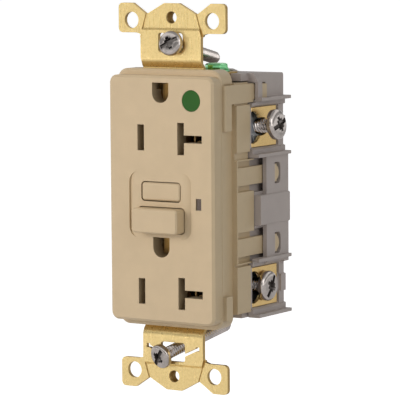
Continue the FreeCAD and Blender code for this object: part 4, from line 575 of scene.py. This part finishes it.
def hex_screw(node, name, material, settings):
    """A slotted hex screw with a washer under its head."""
    point, axis, low, high, corner_r = screw_frame(node)
    head_h = settings.hex_height
    base = high - head_h
    washer = [(0, 0), (corner_r, 0), (corner_r, head_h * 0.14), (corner_r * 0.93, head_h * 0.2),
              (0, head_h * 0.2)]
    work = turned(washer, settings.segments)
    hex_r = corner_r * 0.92
    hexagon = turned([(0, head_h * 0.1), (hex_r, head_h * 0.1), (hex_r, head_h * 0.84),
                      (corner_r * 0.78, head_h), (0, head_h)], 6)
    body = bpy.data.meshes.new("hexagon")
    hexagon.to_mesh(body)
    hexagon.free()
    slot_size = (corner_r * 3, settings.slot_width, settings.slot_depth * 2)
    slot = cutter_block(slot_size, Vector((0, 0, head_h)))
    work.from_mesh(carve(body, [slot], corner_r * 0.03))
    threaded_shank(work, GROUND_SHANK, low - base, SHANK_OVERLAP, settings.pitch, settings.thread_depth,
                   SHANK_STEPS)
    mesh = to_mesh(work, name)
    smooth_by_angle(mesh, 30)
    place_on_axis(mesh, point + axis * base, axis, math.radians(20))
    return new_piece(name, mesh, node, material)


def head_side_is_low(node, point, axis, head_r):
    """True where the head lies at the lower end of the axis."""
    rim_share = 0.97
    wide = []
    for vert in frame["nodes"][node].data.vertices:
        offset = vert.co - point
        along = offset.dot(axis)
        if (offset - axis * along).length > head_r * rim_share:
            wide.append(along)
    low, high, _ = axis_reach(node, point, axis)
    return sum(wide) / len(wide) < (low + high) / 2


# ------------------------------------------------------------------ pieces
class OUTLET_OT_mouldings(bpy.types.Operator):
    """Rounded ivory cover and buttons and the grey back body."""
    bl_idname = "outlet.mouldings"
    bl_label = "Mouldings"

    def execute(self, context):
        tones_of = context.scene.outlet_finishes
        ivory = moulded("ivory moulding", tones_of.ivory, 0.40)
        button_ivory = moulded("button ivory", tones_of.ivory, 0.36, 0.025)
        grey = moulded("warm grey moulding", tones_of.grey, 0.5, 0.04, 0.16)
        cover = rounded_copy("front_cover", "cover_moulding", tones_of.cover_round, ivory)
        self.hook_faces(cover, tones_of)
        self.shade_openings(cover, tones_of)
        body = rounded_copy("back_body", "body_moulding", tones_of.body_round, grey)
        self.wire_entries(body, tones_of)
        rounded_copy("test_button", "test_key_cap", tones_of.cover_round, button_ivory)
        rounded_copy("reset_button", "reset_key_cap", tones_of.cover_round, button_ivory)
        return {"FINISHED"}

    def shade_openings(self, cover, tones_of):
        """Painted shade: a darker copy of the ivory on the walls of the openings, where little light reaches."""
        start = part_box("front_cover")[0][1] + tones_of.shade_start
        painted_shade_ivory = [tone * tones_of.shade for tone in tones_of.ivory]
        cover.data.materials.append(moulded("shaded ivory", painted_shade_ivory, 0.5))
        for face in cover.data.polygons:
            x, y, z = face.center
            within = abs(x) < tones_of.shade_half_width and abs(z) < tones_of.shade_half_height
            if within and y > start and abs(face.normal.y) < OPENING_SLANT:
                face.material_index = 1

    def hook_faces(self, cover, tones_of):
        """Rounded faces of the snap hooks, seen through their windows."""
        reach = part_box("front_cover")[1][0]
        work = bmesh.new()
        work.from_mesh(cover.data)
        front = tones_of.hook_front
        for side in (1, -1):
            middle = tones_of.hook_middle + side * tones_of.hook_spread
            outline = [(front, middle - HOOK_HALF), (front, middle + HOOK_HALF)]
            for k in range(1, HOOK_STEPS):
                angle = math.pi / 2 - math.pi * k / HOOK_STEPS
                outline.append((front + HOOK_BOW * math.cos(angle), middle + HOOK_HALF * math.sin(angle)))
            self.pad(work, outline, reach - HOOK_SINK, HOOK_LEAN)
        low, high = tones_of.corner_low, tones_of.corner_high
        corners = [(CORNER_FRONT, low), (CORNER_FRONT, high), (CORNER_REAR, high), (CORNER_REAR, low)]
        self.pad(work, corners, reach - CORNER_SINK)
        work.to_mesh(cover.data)
        work.free()

    def wire_entries(self, body, tones_of):
        """Shallow floors of the half-round wire entries behind the terminals."""
        work = bmesh.new()
        work.from_mesh(body.data)
        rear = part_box("back_body")[1][1] - ENTRY_MARGIN
        for plate in ("terminal_plate_hot_line", "terminal_plate_hot_load"):
            low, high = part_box(plate)
            for shift in (-tones_of.wire_offset, tones_of.wire_offset):
                middle = (low[2] + high[2]) / 2 + shift
                top, bottom = middle + ENTRY_HALF, middle - ENTRY_HALF
                outline = [(ENTRY_FRONT, bottom), (ENTRY_FRONT, top), (rear, top), (rear, bottom)]
                self.pad(work, outline, tones_of.wire_floor)
        work.to_mesh(body.data)
        work.free()

    def pad(self, work, outline, level, lean=0):
        """A plate with a (depth, height) outline on either side, sunk into the moulding behind it."""
        front = outline[0][0]
        for side in (-1, 1):
            outer = [work.verts.new((side * (level + lean * (y - front)), y, z)) for y, z in outline]
            inner = [work.verts.new((side * (level - PAD_THICKNESS), y, z)) for y, z in outline]
            faces = [work.faces.new(outer), work.faces.new(list(reversed(inner)))]
            for k in range(len(outline)):
                n = (k + 1) % len(outline)
                faces.append(work.faces.new((outer[k], outer[n], inner[n], inner[k])))
            bmesh.ops.recalc_face_normals(work, faces=faces)


class OUTLET_OT_window(bpy.types.Operator):
    """Indicator window, its lamp and the green dot."""
    bl_idname = "outlet.window"
    bl_label = "Window and dot"

    def execute(self, context):
        tones_of = context.scene.outlet_finishes
        repaint("indicator_lens", smoked_window("smoked window", tones_of.window))
        repaint("indicator_lamp", moulded("lamp green", (0.1, 0.35, 0.12), 0.3))
        dot = moulded("dot green", tones_of.dot_green, 0.6, 0.06)
        rounded_copy("grade_dot", "green_dot", 0.12 * MM, dot)
        return {"FINISHED"}


class OUTLET_OT_strap(bpy.types.Operator):
    """Stamped strap and the ground contacts."""
    bl_idname = "outlet.strap"
    bl_label = "Strap"

    def execute(self, context):
        tones_of = context.scene.outlet_finishes
        brass = plated("strap brass", tones_of.brass, 0.27, 0.06, stretch=(1, 1, 0.06),
                       stain=(0.83, 0.62, 0.255), ripple=0.2, fleck=1500)
        strap = rounded_copy("mounting_strap", "strap_stamping", tones_of.metal_round, brass,
                             bends=self.is_bend, bend_round=tones_of.bend_round)
        strap.data.materials.append(plated("sheared brass", tones_of.sheared, 0.4, 0.2))
        for face in strap.data.polygons:
            if abs(face.normal.y) < SHEARED_SLANT:
                face.material_index = 1
        self.tapped_holes(tones_of)
        contact = plated("contact brass", (0.66, 0.50, 0.27), 0.3)
        for place in ("upper", "lower"):
            node = "ground_contact_" + place
            clip = rounded_copy(node, place + "_ground_clip", tones_of.metal_round, contact)
            work = self.ground_leaves(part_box(node))
            work.from_mesh(clip.data)
            work.to_mesh(clip.data)
            work.free()
        return {"FINISHED"}

    def is_bend(self, start, end):
        """True for the two front edges where the sheet bends into the body."""
        run = end - start
        level = abs(run.z) < MERGE * 10 and abs(run.y) < MERGE * 10 and abs(run.x) > BEND_RUN
        return level and start.y < 0 and abs(abs(start.z) - BEND_HEIGHT) < BEND_MARGIN

    def tapped_holes(self, tones_of):
        """Threads in the two wall-plate screw holes, as closed sleeves in a dark brass that is painted shade."""
        # Brass at about half the strap's brightness: painted shade inside the holes.
        dark = plated("tapped hole shade brass", (0.42, 0.29, 0.12), 0.3, 0.15)
        work = bmesh.new()
        for side in (-1, 1):
            middle = side * tones_of.tapped_spacing / 2
            rings = []
            for row in range(TAPPED_ROWS + 1):
                depth = tones_of.tapped_depth * row / TAPPED_ROWS
                turns = depth / tones_of.tapped_pitch
                phases = [(turns - k / TAPPED_STEPS) % 1.0 for k in range(TAPPED_STEPS)]
                radii = [tones_of.tapped_radius - TAPPED_CREST * (1 - abs(2 * phase - 1))
                         for phase in phases]
                rings.append(self.ring(work, middle, depth, radii))
            outside = [TAPPED_OUTER * tones_of.tapped_radius] * TAPPED_STEPS
            rings += [self.ring(work, middle, depth, outside) for depth in (tones_of.tapped_depth, 0)]
            for near, far in zip(rings, rings[1:] + rings[:1]):
                for k in range(TAPPED_STEPS):
                    n = (k + 1) % TAPPED_STEPS
                    work.faces.new((near[k], near[n], far[n], far[k]))
        new_piece("tapped_holes", to_mesh(work, "tapped_holes"), "mounting_strap", dark)

    def ring(self, work, middle, depth, radii):
        """A ring of points about a hole's axis, with a radius for each point."""
        points = []
        for k, radius in enumerate(radii):
            angle = 2 * math.pi * k / len(radii)
            points.append(work.verts.new((radius * math.cos(angle), TAPPED_START + depth,
                                          middle + radius * math.sin(angle))))
        return points

    def ground_leaves(self, clip):
        """Flared leaves in front of a ground clip, seen through the opening of the face."""
        low, high = clip
        middle = (low[2] + high[2]) / 2
        work = bmesh.new()
        bend = [(LEAF_GAP, low[1] + LEAF_ROOT), (LEAF_GAP, low[1] + LEAF_BEND),
                (LEAF_SPREAD, low[1] + LEAF_TIP)]
        for side in (-1, 1):
            path = bend + [(x + LEAF_SHEET, y) for x, y in reversed(bend)]
            lower = [work.verts.new((side * x, y, middle - LEAF_HALF)) for x, y in path]
            upper = [work.verts.new((side * x, y, middle + LEAF_HALF)) for x, y in path]
            work.faces.new(lower)
            work.faces.new(list(reversed(upper)))
            for k in range(len(path)):
                n = (k + 1) % len(path)
                work.faces.new((lower[k], lower[n], upper[n], upper[k]))
        bmesh.ops.recalc_face_normals(work, faces=work.faces)
        return work


class OUTLET_OT_terminals(bpy.types.Operator):
    """Terminal plates and wire clamps."""
    bl_idname = "outlet.terminals"
    bl_label = "Terminals"

    def execute(self, context):
        tones_of = context.scene.outlet_finishes
        plate = plated("terminal brass", tones_of.plate, 0.26, 0.08, (1, 0.08, 1))
        clamp = plated("clamp zinc", (0.60, 0.66, 0.74), 0.5, 0.08)
        for node in frame["nodes"]:
            if node.startswith("terminal_plate_"):
                name = node.replace("terminal_plate", "brass_plate")
                rounded_copy(node, name, 2 * tones_of.metal_round, plate)
            if node.startswith("terminal_clamp_"):
                name = node.replace("terminal_clamp", "zinc_clamp")
                rounded_copy(node, name, tones_of.metal_round, clamp)
        return {"FINISHED"}


class OUTLET_OT_screws(bpy.types.Operator):
    """Terminal screws and captive box screws with recessed heads and rolled threads."""
    bl_idname = "outlet.screws"
    bl_label = "Screws"

    def execute(self, context):
        tones_of = context.scene.outlet_finishes
        settings = context.scene.outlet_screws
        nickel = plated("screw nickel", tones_of.nickel, 0.14, 0.12, stain=(0.36, 0.33, 0.31), ripple=0.3)
        brass = plated("screw brass", tones_of.plate, 0.2, 0.1)
        # Darker copies of the metals for the driver recesses: painted shade.
        recess_shade_nickel = plated("recess shade nickel", [tone * tones_of.recess_shade for tone in tones_of.nickel], 0.3)
        recess_shade_brass = plated("recess shade brass", [tone * tones_of.recess_shade for tone in tones_of.plate], 0.3)
        for node in sorted(frame["nodes"]):
            if node.startswith("terminal_screw_"):
                name = node.replace("terminal_screw", "side_screw")
                material, recess_shade = (nickel, recess_shade_nickel) if "neutral" in node else (brass, recess_shade_brass)
                twist = 0.35 if "load" in node else 1.0
                machine_screw(node, name, TERMINAL_HEAD, TERMINAL_SHANK, material, recess_shade, settings, twist)
        for node, name, twist in (("box_screw_upper", "upper_box_screw", 0.5),
                                  ("box_screw_lower", "lower_box_screw", 0.9)):
            machine_screw(node, name, BOX_HEAD, BOX_SHANK, nickel, recess_shade_nickel, settings, twist)
        green = plated("ground green", tones_of.ground_green, 0.14, 0.3, ripple=0.1)
        hex_screw("ground_screw", "green_hex_screw", green, settings)
        return {"FINISHED"}


class OUTLET_OT_works(bpy.types.Operator):
    """Finishes of the working parts inside."""
    bl_idname = "outlet.works"
    bl_label = "Inner works"

    def execute(self, context):
        brass = plated("works brass", (0.42, 0.28, 0.12), 0.4)
        steel = plated("works steel", (0.5, 0.5, 0.52), 0.3)
        black = moulded("black moulding", (0.022, 0.022, 0.024), 0.45)
        white = moulded("white moulding", (0.70, 0.69, 0.64), 0.5)
        board = moulded("board green", (0.03, 0.16, 0.07), 0.35, 0.12)
        tape = moulded("coil tape", (0.42, 0.27, 0.06), 0.5, 0.15)
        blue = moulded("dipped blue", (0.05, 0.12, 0.35), 0.3)
        wire = woven_wire("winding wire", (0.42, 0.15, 0.06), 900)
        finishes = {"brass": brass, "steel": steel, "black_plastic": black, "white_plastic": white,
                    "board_green": board, "coil_tape": tape, "component_blue": blue, "copper_wire": wire}
        shown = ("ground_contact_upper", "ground_contact_lower")
        for node, slot in SLOT_OF.items():
            if slot in finishes and not node.startswith("terminal_plate") and node not in shown:
                repaint(node, finishes[slot])
        return {"FINISHED"}


class OUTLET_OT_stage(bpy.types.Operator):
    """Pale floor, soft lamps, white surroundings and the camera."""
    bl_idname = "outlet.stage"
    bl_label = "Stage"

    def execute(self, context):
        stage = context.scene.outlet_stage
        self.floor(stage)
        self.lamps(stage)
        self.surroundings(stage)
        self.camera(stage)
        context.scene.view_settings.view_transform = "Standard"
        return {"FINISHED"}

    def floor(self, stage):
        height = CAD_BOX[0][2] - stage.floor_drop
        work = bmesh.new()
        bmesh.ops.create_grid(work, x_segments=2, y_segments=2, size=FLOOR_SIZE)
        mesh = bpy.data.meshes.new("floor")
        work.to_mesh(mesh)
        work.free()
        mesh.transform(Matrix.Translation((0, 0, height)))
        floor = bpy.data.objects.new("floor", mesh)
        bpy.context.scene.collection.objects.link(floor)
        finish = Finish("pale floor")
        finish.join(finish.ramp(finish.noise(3, 2), [(0.3, (0.80, 0.80, 0.80)), (0.7, (0.82, 0.82, 0.82))]),
                    "Base Color")
        finish.set(Roughness=0.9, Specular_IOR_Level=0.0)
        path = finish.nodes.new("ShaderNodeLightPath")
        seen = finish.spread(path.outputs["Is Camera Ray"], 0.0, stage.floor_white)
        mirrored = finish.spread(path.outputs["Is Glossy Ray"], 0.0, stage.floor_gloss)
        level = math_node(finish.nodes, finish.links, "ADD", seen, mirrored)
        glow = finish.nodes.new("ShaderNodeEmission")
        finish.links.new(level, glow.inputs["Strength"])
        total = finish.nodes.new("ShaderNodeAddShader")
        finish.links.new(finish.shader.outputs["BSDF"], total.inputs[0])
        finish.links.new(glow.outputs["Emission"], total.inputs[1])
        finish.links.new(total.outputs["Shader"], finish.nodes["Material Output"].inputs["Surface"])
        mesh.materials.append(finish.material)

    def lamps(self, stage):
        self.area_lamp("key lamp", (-0.50, -0.85, 0.30), size=0.7, power=stage.key_power, in_metal=False,
                       colour=(1.0, 0.955, 0.985))
        self.area_lamp("fill lamp", (0.75, -0.30, 0.30), size=0.6, power=stage.fill_power, in_metal=True,
                       colour=(1.0, 1.0, 1.0))

    def area_lamp(self, name, place, size, power, in_metal, colour):
        lamp = bpy.data.lights.new(name, "AREA")
        lamp.shape = "DISK"
        lamp.size = size
        lamp.energy = power
        lamp.color = colour
        thing = bpy.data.objects.new(name, lamp)
        bpy.context.scene.collection.objects.link(thing)
        thing.location = place
        thing.visible_glossy = in_metal
        thing.rotation_euler = (Vector(LAMP_AIM) - Vector(place)).to_track_quat("-Z", "Y").to_euler()

    def surroundings(self, stage):
        """A white room: even for matt surfaces, with brighter and darker banks in metal."""
        world = bpy.data.worlds.new("white room")
        bpy.context.scene.world = world
        world.use_nodes = True
        nodes, links = world.node_tree.nodes, world.node_tree.links
        path = nodes.new("ShaderNodeLightPath")
        place = nodes.new("ShaderNodeTexCoord")
        axes = nodes.new("ShaderNodeSeparateXYZ")
        links.new(place.outputs["Generated"], axes.inputs["Vector"])
        banks = nodes.new("ShaderNodeValToRGB")
        shades = ((0.0, 0.9), (0.44, 1.0), (0.56, 1.0), (0.60, 0.2), (0.68, 0.15), (0.72, 1.1), (0.84, 1.0),
                  (0.9, 0.45))
        set_stops(banks.color_ramp, [(position, (shade, shade, shade)) for position, shade in shades])
        lift = math_node(nodes, links, "MULTIPLY_ADD", axes.outputs["Z"], 0.5, 0.5)
        links.new(lift, banks.inputs["Fac"])
        gloss = math_node(nodes, links, "MULTIPLY", path.outputs["Is Glossy Ray"], banks.outputs["Color"])
        clear = math_node(nodes, links, "MAXIMUM", path.outputs["Is Camera Ray"],
                          path.outputs["Is Transmission Ray"])
        level = math_node(nodes, links, "MAXIMUM", gloss, clear)
        level = math_node(nodes, links, "MAXIMUM", level, stage.ambient)
        sky = nodes["Background"]
        sky.inputs["Color"].default_value = (1, 1, 1, 1)
        links.new(level, sky.inputs["Strength"])

    def camera(self, stage):
        """The camera, turned and raised about the part and rolled a little."""
        yaw, rise, roll = (math.radians(angle) for angle in CAMERA_TURN)
        back = Vector((math.sin(yaw) * math.cos(rise), -math.cos(yaw) * math.cos(rise), math.sin(rise)))
        right = Vector((math.cos(yaw), math.sin(yaw), 0))
        up = back.cross(right)
        turned_right = right * math.cos(roll) + up * math.sin(roll)
        turned_up = up * math.cos(roll) - right * math.sin(roll)
        data = bpy.data.cameras.new("camera")
        data.sensor_width = 36
        data.lens = stage.focal
        data.clip_start = 0.01
        data.clip_end = 50
        camera = bpy.data.objects.new("camera", data)
        bpy.context.scene.collection.objects.link(camera)
        axes = Matrix((turned_right, turned_up, back)).transposed()
        camera.matrix_world = Matrix.Translation(CAMERA_PLACE) @ axes.to_4x4()
        bpy.context.scene.camera = camera


# ------------------------------------------------------------------ panel and run
class OUTLET_PT_panel(bpy.types.Panel):
    """Lists the outlet's pieces and settings."""
    bl_idname = "OUTLET_PT_panel"
    bl_label = "Ground-fault outlet"
    bl_space_type = "VIEW_3D"
    bl_region_type = "UI"
    bl_category = "Outlet"

    def draw(self, context):
        for kind in PIECES:
            self.layout.operator(kind.bl_idname)
        scene = context.scene
        for group in (scene.outlet_finishes, scene.outlet_screws, scene.outlet_stage):
            column = self.layout.column()
            for key in group.bl_rna.properties.keys():
                if key not in ("name", "rna_type"):
                    column.prop(group, key)


PIECES = (OUTLET_OT_mouldings, OUTLET_OT_window, OUTLET_OT_strap, OUTLET_OT_terminals, OUTLET_OT_screws,
          OUTLET_OT_works, OUTLET_OT_stage)
CLASSES = (OutletFinishes, OutletScrews, OutletStage) + PIECES + (OUTLET_PT_panel,)


def register():
    for kind in CLASSES:
        bpy.utils.register_class(kind)
    bpy.types.Scene.outlet_finishes = PointerProperty(type=OutletFinishes)
    bpy.types.Scene.outlet_screws = PointerProperty(type=OutletScrews)
    bpy.types.Scene.outlet_stage = PointerProperty(type=OutletStage)


def unregister():
    del bpy.types.Scene.outlet_stage
    del bpy.types.Scene.outlet_screws
    del bpy.types.Scene.outlet_finishes
    for kind in reversed(CLASSES):
        bpy.utils.unregister_class(kind)


def main():
    register()
    bpy.ops.outlet.mouldings()
    bpy.ops.outlet.window()
    bpy.ops.outlet.strap()
    bpy.ops.outlet.terminals()
    bpy.ops.outlet.screws()
    bpy.ops.outlet.works()
    bpy.ops.outlet.stage()


if __name__ == "__main__":
    main()
